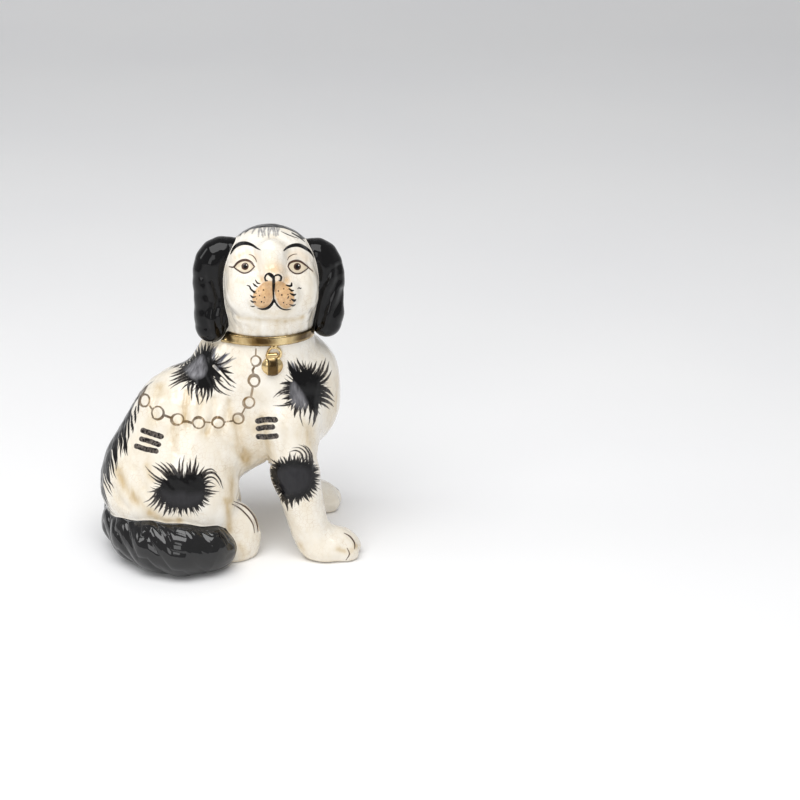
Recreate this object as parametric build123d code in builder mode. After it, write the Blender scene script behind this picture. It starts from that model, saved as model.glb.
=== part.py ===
from build123d import *
import os

os.makedirs("parts", exist_ok=True)

# Seated spaniel mantel figure, glazed earthenware, hollow.
# The body points along +X and the head is turned to face -Y, so -Y is the
# side that is looked at. All sizes are in millimetres. The origin is on the
# standing surface, in the middle of the figure's outline seen from above.

# ------------------------------------------------------------ dimensions
figure_x = 4.63         # figure's modelling axis, from the origin
figure_y = 7.04
wall = 4.0              # clay wall of the hollow members
foot_slab = 4.0         # thickness of the slab that closes the underside
vent_radius = 4.0       # firing vent in the slab

neck_x, neck_y, neck_z = 27.5, -9.0, 155.5   # middle of the neck joint
neck_radius = 27.5
head_x, head_y = 28.5, -9.0
head_top = 226.6

collar_seat = 26.3      # radius of the groove that the collar is let into
collar_radius = 30.6    # crown of the raised collar band
collar_band = 3.4       # half height of the band

padlock_radius = 6.9
padlock_relief = 3.2    # height above its seat
shackle_radius = 4.4    # outer radius of the ring
shackle_hole = 2.0
shackle_relief = 2.6
seat_depth = 1.2        # how far both seats are let into the chest

# Outline stations of the trunk, seen from the side: the point on its front
# line, the point on its back line, its half width and the middle of its width.
# The stations fan out around the gap between haunch and chest.
trunk = [
    ((-2, 0), (-82, 0), 41, 0),
    ((1, 20), (-88, 26), 46, 0),
    ((1, 41), (-86, 56), 47, 0),
    ((10, 55), (-77, 84), 45, 0),
    ((30, 61), (-61, 108), 41, 0),
    ((56, 66), (-39, 128), 38, 0),
    ((73, 93), (-16, 145), 37, -1),
    ((71.5, 117), (-4, 149), 34, -3),
    ((61, 139), (-1, 153), 30, -7),
    ((neck_x + neck_radius, neck_z), (neck_x - neck_radius, neck_z), neck_radius, neck_y),
]
haunch_centre = (-30, 28, 52)       # mirrored to the other side
haunch_radii = (33, 24, 44)

# Skull stations from the neck joint up: height, half width, half depth and the
# same for the hollow inside.
skull = [(155.5, 27.2, 27.5), (166, 27.6, 29), (181, 29.2, 32), (197, 30.6, 33.5), (209, 28.2, 31.2), (217.5, 22, 24.5), (223, 14.2, 16), (head_top, 4, 4.5)]
skull_inside = [(155.5, 23.2, 23.5), (166, 23.6, 25), (181, 25.2, 28), (196, 26.6, 29.5), (207, 24, 26.8), (214.2, 18.6, 21), (219.2, 11.4, 12.6), (head_top - 4.4, 3, 3.5)]
muzzle_centre = (29, -39, 194)
muzzle_radii = (16.5, 13.5, 13.5)
muzzle_hollow = (12, 9.5, 9.5)

# Ear stations: height, middle x, middle y, half width, half thickness.
ear_right = [
    (151.5, -11.3, -10.4, 4, 4), (156, -11, -10.2, 9.2, 8.8), (166, -9.8, -9.5, 11.4, 11.2),
    (183, -9.1, -8, 11.7, 11.7), (198, -8.8, -7.4, 11.9, 11.9), (210, -6, -7, 11.8, 11), (219, -2.5, -6.8, 6, 5),
]
ear_left = [
    (150.5, 65, -10.4, 4, 4), (156, 65.1, -10.2, 9.4, 9), (166, 65.4, -9.5, 11.2, 11.2),
    (183, 65.3, -8, 11.4, 11.4), (195, 65.2, -7.4, 11.6, 11.6), (206, 62.8, -7, 11.6, 10.8), (215, 59.5, -6.8, 6, 5),
]

# Foreleg stations: middle x, y, z and radius, shoulder to ankle.
foreleg_near = [(37.5, -26, 104, 20), (39, -28.5, 80, 17.8), (40.8, -31, 60, 15.6), (44.8, -33, 40, 14.2), (48.7, -35, 20, 13.2), (51, -36, 5, 13)]
foreleg_far = [(36, 25, 104, 19.5), (37.6, 28.5, 80, 17.6), (39.6, 32, 60, 15.4), (42.7, 33.5, 40, 14.2), (46.2, 34.5, 20, 13.2), (49, 34.5, 5, 13)]
fore_paw_near = ((61.8, -36.5, 8), (20, 15.5, 12.5))
fore_paw_far = ((56.5, 34.5, 8.5), (19, 15, 12.5))

hind_paw_near = ((-4, -27, 14.5), (20.6, 14.8, 26.3))
hind_paw_far = ((-14.5, 28, 14), (20.6, 14.5, 25))

# Tail stations along its run: middle x, y, z and radius. It starts behind the
# rump, curls round to the near side and ends beside the hind paw.
tail_run = [
    (-71, 25, 22, 9), (-74.5, 13.5, 20.5, 14), (-74, -5, 18.4, 16.6), (-66.5, -25.5, 18, 17.8),
    (-52.5, -41, 18.2, 18.3), (-37, -47.5, 18, 18.4), (-20, -46.5, 16, 16), (-7, -43.5, 12.6, 10.6), (-1.5, -42, 11.5, 6.5),
]


def place(x, y, z):
    return Vector(x + figure_x, y + figure_y, z)


def station_plane(front, back, y):
    (fx, fz), (bx, bz) = front, back
    middle = place((fx + bx) / 2, y, (fz + bz) / 2)
    return Plane(origin=middle, x_dir=(fx - bx, 0, fz - bz), z_dir=(bz - fz, 0, fx - bx))


def egg(centre, radii):
    ball = Sphere(1, mode=Mode.PRIVATE)
    return Location(place(*centre)) * scale(ball, by=tuple(radii), mode=Mode.PRIVATE)


# ------------------------------------------------------------ seats
# The collar covers the neck joint and is let into a shallow groove. The padlock
# and its ring are let into flat seats on the chest.
with BuildPart() as collar_groove:
    with BuildSketch(Plane(place(neck_x, neck_y, neck_z - collar_band))):
        Circle(collar_seat + 10)
        Circle(collar_seat, mode=Mode.SUBTRACT)
    extrude(amount=2 * collar_band)

chest_tilt = (0, -1, 0.12)
padlock_seat = Plane(origin=place(27.3, -36.9 + seat_depth, 140), x_dir=(1, 0, 0), z_dir=chest_tilt)
shackle_seat = Plane(origin=place(28, -37.2 + seat_depth, 150), x_dir=(1, 0, 0), z_dir=chest_tilt)

with BuildPart() as padlock_recess:
    with BuildSketch(padlock_seat):
        Circle(padlock_radius)
    extrude(amount=12)

with BuildPart() as shackle_recess:
    with BuildSketch(shackle_seat):
        Circle(shackle_radius)
        Circle(shackle_hole, mode=Mode.SUBTRACT)
    extrude(amount=12)

below_floor = Location((0, 0, -30)) * Box(400, 400, 60, mode=Mode.PRIVATE)

# ------------------------------------------------------------ trunk
haunches = [(haunch_centre[0], side * haunch_centre[1], haunch_centre[2]) for side in (-1, 1)]

with BuildPart() as trunk_outside:
    for front, back, half_width, y in trunk:
        half_span = ((front[0] - back[0]) ** 2 + (front[1] - back[1]) ** 2) ** 0.5 / 2
        with BuildSketch(station_plane(front, back, y)):
            Ellipse(half_span, half_width)
    loft()
    for centre in haunches:
        add(egg(centre, haunch_radii))
    add(below_floor, mode=Mode.SUBTRACT)

with BuildPart() as trunk_inside:
    for front, back, half_width, y in trunk:
        half_span = ((front[0] - back[0]) ** 2 + (front[1] - back[1]) ** 2) ** 0.5 / 2
        with BuildSketch(station_plane(front, back, y)):
            Ellipse(half_span - wall, half_width - wall)
    loft()
    for centre in haunches:
        add(egg(centre, [r - wall for r in haunch_radii]))
    add(below_floor, mode=Mode.SUBTRACT)

with BuildPart() as right_body_shell:
    add(trunk_outside.part)
    add(trunk_inside.part, mode=Mode.SUBTRACT)
    split(bisect_by=Plane.XZ.offset(-figure_y), keep=Keep.TOP)
    add(collar_groove.part, mode=Mode.SUBTRACT)
    add(padlock_recess.part, mode=Mode.SUBTRACT)
    add(shackle_recess.part, mode=Mode.SUBTRACT)

with BuildPart() as left_body_shell:
    add(trunk_outside.part)
    add(trunk_inside.part, mode=Mode.SUBTRACT)
    split(bisect_by=Plane.XZ.offset(-figure_y), keep=Keep.BOTTOM)
    add(collar_groove.part, mode=Mode.SUBTRACT)

# Slab that closes the underside, inside the wall, with the firing vent.
with BuildPart() as foot_slab_plate:
    add(trunk_inside.part)
    with BuildSketch():
        Rectangle(400, 400)
    extrude(amount=foot_slab, mode=Mode.INTERSECT)
    with BuildSketch(Plane(place(-42, 0, 0))):
        Circle(vent_radius)
    extrude(amount=foot_slab, mode=Mode.SUBTRACT)

# ------------------------------------------------------------ head
with BuildPart() as head_outside:
    for z, half_width, half_depth in skull:
        with BuildSketch(Plane(place(head_x, head_y, z))):
            Ellipse(half_width, half_depth)
    loft()
    add(egg(muzzle_centre, muzzle_radii))
    add(collar_groove.part, mode=Mode.SUBTRACT)

with BuildPart() as head_inside:
    for z, half_width, half_depth in skull_inside:
        with BuildSketch(Plane(place(head_x, head_y, z))):
            Ellipse(half_width, half_depth)
    loft()
    add(egg(muzzle_centre, muzzle_hollow))

head_seam = Plane.XZ.offset(-(head_y + figure_y))
with BuildPart() as face_shell:
    add(head_outside.part)
    add(head_inside.part, mode=Mode.SUBTRACT)
    split(bisect_by=head_seam, keep=Keep.TOP)

with BuildPart() as nape_shell:
    add(head_outside.part)
    add(head_inside.part, mode=Mode.SUBTRACT)
    split(bisect_by=head_seam, keep=Keep.BOTTOM)

# ------------------------------------------------------------ collar
with BuildPart() as collar_ring:
    with BuildSketch(Plane(place(neck_x, neck_y, neck_z - collar_band))):
        Circle(collar_radius)
        Circle(collar_seat, mode=Mode.SUBTRACT)
    extrude(amount=2 * collar_band)
    fillet(collar_ring.edges().filter_by(GeomType.CIRCLE).sort_by(SortBy.RADIUS)[-2:], 1.6)

# ------------------------------------------------------------ ears
with BuildPart() as right_ear:
    for z, x, y, half_width, half_thick in ear_right:
        with BuildSketch(Plane(place(x, y, z))):
            Ellipse(half_width, half_thick)
    loft()
    add(head_outside.part, mode=Mode.SUBTRACT)
    add(collar_ring.part, mode=Mode.SUBTRACT)
    add(trunk_outside.part, mode=Mode.SUBTRACT)

with BuildPart() as left_ear:
    for z, x, y, half_width, half_thick in ear_left:
        with BuildSketch(Plane(place(x, y, z))):
            Ellipse(half_width, half_thick)
    loft()
    add(head_outside.part, mode=Mode.SUBTRACT)
    add(collar_ring.part, mode=Mode.SUBTRACT)
    add(trunk_outside.part, mode=Mode.SUBTRACT)

# ------------------------------------------------------------ forelegs
with BuildPart() as right_foreleg:
    for x, y, z, radius in foreleg_near:
        with BuildSketch(Plane(place(x, y, z))):
            Circle(radius)
    loft()
    add(egg(*fore_paw_near))
    for x, y, z, radius in foreleg_near[:5]:
        with BuildSketch(Plane(place(x, y, z))):
            Circle(radius - wall)
    loft(mode=Mode.SUBTRACT)
    add(trunk_outside.part, mode=Mode.SUBTRACT)
    add(below_floor, mode=Mode.SUBTRACT)

with BuildPart() as left_foreleg:
    for x, y, z, radius in foreleg_far:
        with BuildSketch(Plane(place(x, y, z))):
            Circle(radius)
    loft()
    add(egg(*fore_paw_far))
    for x, y, z, radius in foreleg_far[:5]:
        with BuildSketch(Plane(place(x, y, z))):
            Circle(radius - wall)
    loft(mode=Mode.SUBTRACT)
    add(trunk_outside.part, mode=Mode.SUBTRACT)
    add(below_floor, mode=Mode.SUBTRACT)

# ------------------------------------------------------------ hind paws
with BuildPart() as right_hind_paw:
    add(egg(*hind_paw_near))
    add(trunk_outside.part, mode=Mode.SUBTRACT)
    add(below_floor, mode=Mode.SUBTRACT)

with BuildPart() as left_hind_paw:
    add(egg(*hind_paw_far))
    add(trunk_outside.part, mode=Mode.SUBTRACT)
    add(below_floor, mode=Mode.SUBTRACT)

# ------------------------------------------------------------ tail
with BuildPart() as tail_roll:
    for i, (x, y, z, radius) in enumerate(tail_run):
        before = place(*tail_run[max(i - 1, 0)][:3])
        after = place(*tail_run[min(i + 1, len(tail_run) - 1)][:3])
        with BuildSketch(Plane(origin=place(x, y, z), z_dir=after - before)):
            Circle(radius)
    loft()
    add(trunk_outside.part, mode=Mode.SUBTRACT)
    add(right_hind_paw.part, mode=Mode.SUBTRACT)
    add(below_floor, mode=Mode.SUBTRACT)

# ------------------------------------------------------------ padlock
with BuildPart() as padlock_case:
    with BuildSketch(padlock_seat):
        Circle(padlock_radius)
    extrude(amount=padlock_relief)
    fillet(padlock_case.edges().filter_by(GeomType.CIRCLE).sort_by(Axis.Y)[0], 1.6)

with BuildPart() as padlock_shackle:
    with BuildSketch(shackle_seat):
        Circle(shackle_radius)
        Circle(shackle_hole, mode=Mode.SUBTRACT)
    extrude(amount=shackle_relief)
    fillet(padlock_shackle.edges().filter_by(GeomType.CIRCLE).sort_by(Axis.Y)[:2], 0.8)
    add(padlock_recess.part, mode=Mode.SUBTRACT)
    add(collar_ring.part, mode=Mode.SUBTRACT)

# ------------------------------------------------------------ output
pieces = {
    "right_body_shell": right_body_shell,
    "left_body_shell": left_body_shell,
    "foot_slab": foot_slab_plate,
    "face_shell": face_shell,
    "nape_shell": nape_shell,
    "right_ear": right_ear,
    "left_ear": left_ear,
    "right_foreleg": right_foreleg,
    "left_foreleg": left_foreleg,
    "right_hind_paw": right_hind_paw,
    "left_hind_paw": left_hind_paw,
    "tail": tail_roll,
    "collar": collar_ring,
    "padlock_case": padlock_case,
    "padlock_shackle": padlock_shackle,
}
low = [1e9] * 3
high = [-1e9] * 3
for name, piece in pieces.items():
    solids = piece.part.solids().sort_by(SortBy.VOLUME)
    box = piece.part.bounding_box()
    print(f"{name}: {len(solids)} solids {[round(s.volume, 1) for s in solids]} "
          f"x {box.min.X:.1f}..{box.max.X:.1f} y {box.min.Y:.1f}..{box.max.Y:.1f} z {box.min.Z:.1f}..{box.max.Z:.1f}")
    for i, (a, b) in enumerate(zip(box.min, box.max)):
        low[i] = min(low[i], a)
        high[i] = max(high[i], b)
    piece.part.label = name
    export_step(piece.part, f"parts/{name}.step")
print("figure", [round(v, 2) for v in low], [round(v, 2) for v in high])
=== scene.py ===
import math
import time

import bpy
import numpy as np
from mathutils import Matrix, Vector


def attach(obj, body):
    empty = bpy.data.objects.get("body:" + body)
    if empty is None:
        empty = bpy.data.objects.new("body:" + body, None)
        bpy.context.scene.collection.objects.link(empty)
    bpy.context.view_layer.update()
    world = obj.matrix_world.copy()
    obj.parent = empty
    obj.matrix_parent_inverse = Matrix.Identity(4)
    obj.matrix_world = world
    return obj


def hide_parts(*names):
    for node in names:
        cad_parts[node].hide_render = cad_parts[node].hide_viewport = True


T0 = time.time()
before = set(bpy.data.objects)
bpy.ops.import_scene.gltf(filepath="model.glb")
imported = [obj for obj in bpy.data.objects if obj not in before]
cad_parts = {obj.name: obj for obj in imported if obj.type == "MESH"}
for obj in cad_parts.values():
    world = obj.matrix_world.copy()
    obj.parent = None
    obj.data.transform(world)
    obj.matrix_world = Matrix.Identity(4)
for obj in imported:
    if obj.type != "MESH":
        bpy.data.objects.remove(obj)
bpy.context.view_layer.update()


def say(*words):
    print("[%.1fs]" % (time.time() - T0), *words, flush=True)


# The figure is modelled in millimetres about its own axis, which stands this
# far from the row's origin.
SHIFT = np.array([4.63, 7.04, 0.0])
MM = 0.001

# ------------------------------------------------------------------ view
# The station from which the painting was laid out, and where the camera stands.
PSI, ELEV, LENS, PX = math.radians(7.5), math.radians(24.0), 85.0, 800
FPX = LENS / 36.0 * PX
DIST = FPX * 0.672
AHEAD = np.array([math.sin(PSI), math.cos(PSI), 0.0])
RIGHT = np.array([math.cos(PSI), -math.sin(PSI), 0.0])
LOOK = np.array([AHEAD[0] * math.cos(ELEV), AHEAD[1] * math.cos(ELEV), -math.sin(ELEV)])
UP = np.cross(RIGHT, LOOK)
AIM = np.array([0.0, 0.0, 102.5]) + 170 * 0.672 * RIGHT
EYE = AIM - DIST * LOOK


def to_px(p):
    q = p - EYE
    z = q @ LOOK
    return 400 + FPX * (q @ RIGHT) / z, 400 - FPX * (q @ UP) / z


# ------------------------------------------------------------------ fields
F32 = np.float32


def ell(p, c, r, rot=None):
    q = p - np.array(c, F32)
    if rot is not None:
        q = q @ rot
    a = q / np.array(r, F32)
    k0 = np.sqrt((a * a).sum(-1) + 1e-9)
    b = a / np.array(r, F32)
    return k0 * (k0 - 1) / np.sqrt((b * b).sum(-1) + 1e-12)


def cap(p, a, b, ra, rb):
    a = np.array(a, F32)
    b = np.array(b, F32)
    d = b - a
    q = p - a
    h = np.clip((q @ d) / (d @ d), 0, 1)
    return np.sqrt(((q - h[..., None] * d) ** 2).sum(-1) + 1e-9) - (ra + h * (rb - ra))


def smin(a, b, k):
    h = np.maximum(k - np.abs(a - b), 0) / k
    return np.minimum(a, b) - h * h * k * 0.25


def smax(a, b, k):
    return -smin(-a, -b, k)


def ss(x, a, b):
    t = np.clip((x - a) / (b - a), 0, 1)
    return t * t * (3 - 2 * t)


def wob(p, s, seed=0.0):
    """A smooth wandering value about -1..1 with features of about s mm."""
    x, y, z = p[..., 0] / s, p[..., 1] / s, p[..., 2] / s
    return (np.sin(1.7 * x + 2.1 * y + seed) * np.sin(1.3 * z - 0.9 * x + 2.0 * seed)
            + np.sin(2.3 * y - 1.1 * z + 1.3 * seed) * np.sin(1.9 * x + 1.6 * z + 0.7 * seed)) * 0.7


def rump(p):
    """Upright below the haunches, domed above them."""
    q = p - np.array([-44.6, 0, 42], F32)
    low = 1.0 - 0.24 * ss(-p[..., 2], -44, -8)
    q = np.stack([q[..., 0] / low, q[..., 1] / low, np.maximum(q[..., 2], 0)], -1)
    return ell(q, (0, 0, 0), (45.3, 44, 56))


def trunk(p):
    f = ell(p, (28.5, 0, 102.5), (45.8, 37.5, 41.8))
    f = smin(f, ell(p, (-16.8, 0, 88.0), (50.5, 41, 42)), 10)
    f = smin(f, rump(p), 14)
    f = smin(f, ell(p, (18, -2, 128), (42, 36, 33)), 12)
    f = smin(f, ell(p, (34.3, -2, 121), (38.3, 34, 30)), 8)
    f = smin(f, cap(p, (23, -4, 134), (27.5, -9, 162), 30, 26.5), 10)
    f = smin(f, ell(p, (-30, -28, 52), (33, 24, 44)), 6)
    f = smin(f, ell(p, (-30, 28, 52), (33, 23.5, 44)), 6)
    return f


def foreleg_near(p):
    f = cap(p, (37.5, -26, 99), (40.6, -31, 60), 20, 15.3)
    f = smin(f, cap(p, (40.6, -31, 60), (48.7, -35, 22), 15.3, 12.9), 6)
    f = smin(f, ell(p, (61.8, -36.5, 8), (20.3, 15.2, 12.6)), 9)
    f = smin(f, ell(p, (72.6, -44.2, 5.2), (8.7, 6.4, 7.9)), 2.2)
    f = smin(f, ell(p, (74.8, -37, 5.8), (8.6, 5.6, 8.6)), 1.8)
    f = smin(f, ell(p, (72.8, -29.8, 5.2), (8.7, 6.2, 7.9)), 2.2)
    return f


def foreleg_far(p):
    f = cap(p, (36, 25, 98), (39.5, 32, 60), 19.5, 15.2)
    f = smin(f, cap(p, (39.5, 32, 60), (46.0, 34.5, 22), 15.2, 12.9), 6)
    f = smin(f, ell(p, (56.5, 34.5, 8.5), (19.0, 15.0, 12.5)), 9)
    f = smin(f, ell(p, (67, 27.5, 6.4), (8.6, 6.2, 7.6)), 2.2)
    f = smin(f, ell(p, (69, 34.5, 7.0), (8.6, 5.6, 8.4)), 1.8)
    f = smin(f, ell(p, (67, 41.5, 6.4), (8.6, 6.2, 7.6)), 2.2)
    return f


def hind_near(p):
    f = ell(p, (-4.0, -27, 14.5), (20.6, 14.8, 26.3))
    f = smin(f, cap(p, (-22, -29, 10), (-2, -28, 10), 14.5, 14.0), 5)
    return f


def hind_far(p):
    f = ell(p, (-14.5, 28, 14.0), (20.6, 14.5, 25))
    f = smin(f, cap(p, (-26, 30, 10), (-12, 30, 10), 14.5, 13.5), 5)
    return f


def skull(p):
    f = ell(p, (29, -9, 198.6), (30.6, 33.5, 28.0))
    f = smin(f, ell(p, (28.6, -10.5, 180), (28.8, 31, 27)), 12)
    f = smin(f, cap(p, (27.8, -8.5, 150), (28.3, -10, 172), 26.3, 27.3), 8)
    # cheeks and jaw
    f = smin(f, ell(p, (13, -28, 189), (12.5, 12, 17)), 8)
    f = smin(f, ell(p, (45, -28, 188), (12.5, 12, 17)), 8)
    f = smin(f, ell(p, (28.2, -35.5, 182.5), (15, 9, 7.5)), 6)
    # muzzle
    f = smin(f, ell(p, (21.6, -40.5, 193.2), (9.8, 9.0, 10.5)), 4.5)
    f = smin(f, ell(p, (35.6, -40.5, 192.6), (9.8, 9.0, 10.5)), 3.2)
    f = smin(f, cap(p, (29, -33, 218), (28.8, -42.5, 205.5), 8, 6.6), 6)
    f = smin(f, ell(p, (28.7, -47.0, 206), (6.2, 4.2, 4.6)), 2.4)
    return f


EAR_R = [(3.5, -6.5, 211.0, 8.8), (-1.4, -6.8, 210.2, 10.0), (-5.0, -7, 207.8, 11.0), (-7.4, -7.2, 204.0, 11.6), (-8.6, -7.3, 198.5, 11.9),
         (-9.0, -7.5, 190, 11.9), (-9.2, -8, 180, 11.6), (-9.2, -10, 168, 11.8), (-10.4, -11, 161, 10.4)]
EAR_L = [(55.5, -6.5, 207.6, 8.8), (59.6, -6.8, 206.4, 10.0), (62.8, -7, 203.6, 10.8), (64.6, -7.2, 199.0, 11.3), (65.3, -7.4, 193, 11.6),
         (65.4, -7.5, 187, 11.6), (65.2, -8, 179, 11.3), (65.4, -9.5, 166, 11.1), (65.0, -10.5, 160.2, 10.0)]
TAIL = [(-72, 27, 25, 8.8), (-74.3, 14, 21.0, 13.6), (-73.4, -5, 18.7, 16.5), (-66, -25, 18.4, 17.7),
        (-52.5, -40.5, 18.6, 18.6), (-37, -47.5, 18.4, 18.7), (-20, -46.5, 16.4, 16.2), (-12.8, -44.5, 13.2, 11.6)]


def chain_of(p, run, k):
    f = None
    for (x0, y0, z0, r0), (x1, y1, z1, r1) in zip(run, run[1:]):
        c = cap(p, (x0, y0, z0), (x1, y1, z1), r0, r1)
        f = c if f is None else smin(f, c, k)
    return f


def ear_right(p):
    return chain_of(p, EAR_R, 1.5)


def ear_left(p):
    return chain_of(p, EAR_L, 1.5)


def tail(p):
    return chain_of(p, TAIL, 3)


# ------------------------------------------------------------------ relief
def groove(u, v, line, width):
    """1 on the line, falling off over width, for points (u, v)."""
    best = np.full(u.shape, 1e9, F32)
    for (x0, y0), (x1, y1) in zip(line, line[1:]):
        dx, dy = x1 - x0, y1 - y0
        h = np.clip(((u - x0) * dx + (v - y0) * dy) / (dx * dx + dy * dy), 0, 1)
        best = np.minimum(best, (u - x0 - h * dx) ** 2 + (v - y0 - h * dy) ** 2)
    return np.exp(-best / (width * width))


def face_relief(p, u, v):
    front = ss(-p[..., 1], 14, 24)
    d = np.zeros(u.shape, F32)
    for cu, cv in ((245.0, 266.3), (297.3, 266.6)):
        a, b = (u - cu), (v - cv)
        d -= 1.5 * np.exp(-(a / 13.0) ** 2 - ((b + 0.5) / 8.0) ** 2)
        ball = np.clip(1 - (a / 10.6) ** 2 - (b / 6.6) ** 2, 0, 1)
        d += 1.5 * np.sqrt(ball + 1e-6)
    for line in (((229, 255), (236, 247), (245, 243), (254, 245), (261, 250)),
                 ((284, 250), (290, 246), (298, 245), (307, 249), (315, 258))):
        d += 0.7 * groove(u, v, line, 4.5)
    d -= 1.0 * groove(u, v, ((273.8, 280), (274.0, 290), (274.1, 301)), 1.7)
    d -= 0.8 * groove(u, v, ((274.1, 301), (270, 306), (263, 308.5), (257.5, 308)), 1.6)
    d -= 0.8 * groove(u, v, ((274.1, 301), (278, 306), (285, 309), (291, 308.5)), 1.6)
    d -= 0.7 * groove(u, v, ((266, 281), (267, 277), (270.5, 276)), 1.5)
    d -= 0.7 * groove(u, v, ((281, 280), (280, 276.5), (277.5, 276)), 1.5)
    d -= 1.1 * groove(u, v, ((230, 311), (240, 317), (256, 320.5), (272, 321.5), (288, 320.5), (303, 317), (311, 311)), 3.6)
    return d * front


LOCKS_R = [
    (((229, 247), (219, 247), (210, 252), (204, 262), (202, 276)), 3.0, 1.2),
    (((206, 268), (205, 284), (209, 302), (206, 320), (210, 336)), 3.2, 1.5), (((214, 262), (213, 280), (218, 298), (215, 316), (219, 332)), 3.2, 1.4),
    (((223, 258), (222, 280), (225, 300), (223, 322)), 2.8, 1.0),
]
LOCKS_L = [
    (((313, 248), (325, 249), (334, 255), (338, 264)), 3.0, 1.2), (((320, 258), (328, 259), (331, 268), (326, 280), (319, 290)), 3.0, 1.5),
    (((337, 266), (338, 280), (331, 294), (325, 308), (321, 324)), 3.2, 1.5), (((342, 290), (338, 304), (332, 317), (328, 331)), 3.0, 1.2),
]


def ear_relief(p, run, side, locks):
    z = p[..., 2]
    ax = np.interp(z, [160, 180, 205], [run[-1][0], run[6][0], run[3][0]])
    ang = np.arctan2(side * (p[..., 0] - ax), -(p[..., 1] + 8.0))
    sway = 0.9 * np.sin((z - 150) * 0.085 + 0.4 + 0.8 * (side > 0))
    ph = 2.0 * ang + 1.2 * sway
    d = 1.25 * (np.sqrt(np.abs(np.sin(ph)) + 0.05) - 0.68)
    front = ss(-(p[..., 1] + 8.0), -2, 5)
    d = d * (1 - 0.75 * front) * (1 - 0.95 * ss(z, 188, 203)) * (0.35 + 0.65 * ss(z, 148, 160))
    u, v = to_px(p)
    u, v = u.astype(F32), v.astype(F32)
    low = front * (1 - 0.85 * ss(z, 194, 206))
    for ln, width, depth in locks:
        d = d - low * depth * groove(u, v, ln, width)
    return d + 0.3 * low


def tail_place(p):
    """Run length and upward angle round the tail for each point."""
    best = np.full(p.shape[:-1], 1e9, F32)
    s = np.zeros(p.shape[:-1], F32)
    up = np.zeros(p.shape[:-1], F32)
    along = 0.0
    for (x0, y0, z0, r0), (x1, y1, z1, r1) in zip(TAIL, TAIL[1:]):
        a = np.array([x0, y0, z0], F32)
        d = np.array([x1 - x0, y1 - y0, z1 - z0], F32)
        length = float(np.sqrt(d @ d))
        q = p - a
        h = np.clip((q @ d) / (d @ d), 0, 1)
        w = q - h[..., None] * d
        dist = (w * w).sum(-1)
        out = (np.array([d[1], -d[0], 0.0]) / math.hypot(d[0], d[1])).astype(F32)
        here = np.arctan2(w[..., 2], w @ out)
        near = dist < best
        best = np.where(near, dist, best)
        s = np.where(near, along + h * length, s)
        up = np.where(near, here, up)
        along += length
    return s, up


def tail_relief(p):
    s, up = tail_place(p)
    run = s + 15.0 * up + 1.2 * wob(p, 22, 2.1)
    ph = run / 12.0 * math.pi
    d = (1.3 - 0.95 * ss(s, 74, 102)) * (np.sqrt(np.abs(np.sin(ph)) + 0.03) - 0.78)
    d = d + (0.12 + 0.26 * ss(up, 0.3, 1.0)) * (np.sqrt(np.abs(np.sin(2 * ph + 0.8)) + 0.08) - 0.7)
    return d * (1 - 0.75 * ss(s, 112, 132)) * (1 - ss(np.abs(up), 2.3, 2.8))


FOLDS = [
    (((187, 392), (185, 408), (188, 426)), 3.2, 0.9),
    (((200, 398), (199, 412), (196, 428)), 2.8, 0.7),
    (((214, 399), (213, 416), (206, 432)), 3.2, 1.0),
    (((174, 426), (172, 440), (176, 452)), 3.0, 0.7),
    (((219, 430), (230, 446), (244, 457)), 3.4, 1.0),
    (((236, 420), (240, 440), (250, 458)), 3.4, 0.9),
    (((229, 402), (226, 418), (223, 430)), 3.0, 0.7),
    (((121, 476), (128, 489), (135, 500)), 3.2, 0.7),
    (((134, 468), (142, 482), (148, 494)), 3.0, 0.5),
    (((112, 486), (118, 498), (128, 508)), 3.0, 0.6),
    (((261, 420), (265, 446), (269, 464)), 3.4, 0.9),
    (((309, 428), (315, 446), (317, 466)), 3.2, 0.7),
    (((250, 395), (247, 415), (252, 432)), 2.8, 0.5),
    (((283, 425), (286, 440), (284, 455)), 3.0, 0.5),
    (((160, 388), (154, 404), (157, 420)), 3.0, 0.5),
]


def body_relief(p, u, v):
    d = np.zeros(u.shape, F32)
    for line, width, depth in FOLDS:
        depth = 1.4 * depth
        d -= 1.05 * depth * groove(u, v, line, width)
    for line in (((240, 501), (249, 506.5), (257, 516), (261, 529)), ((236, 505), (245, 511), (254, 520), (258.5, 532))):
        d -= 0.9 * groove(u, v, line, 1.5)
    return d


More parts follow.
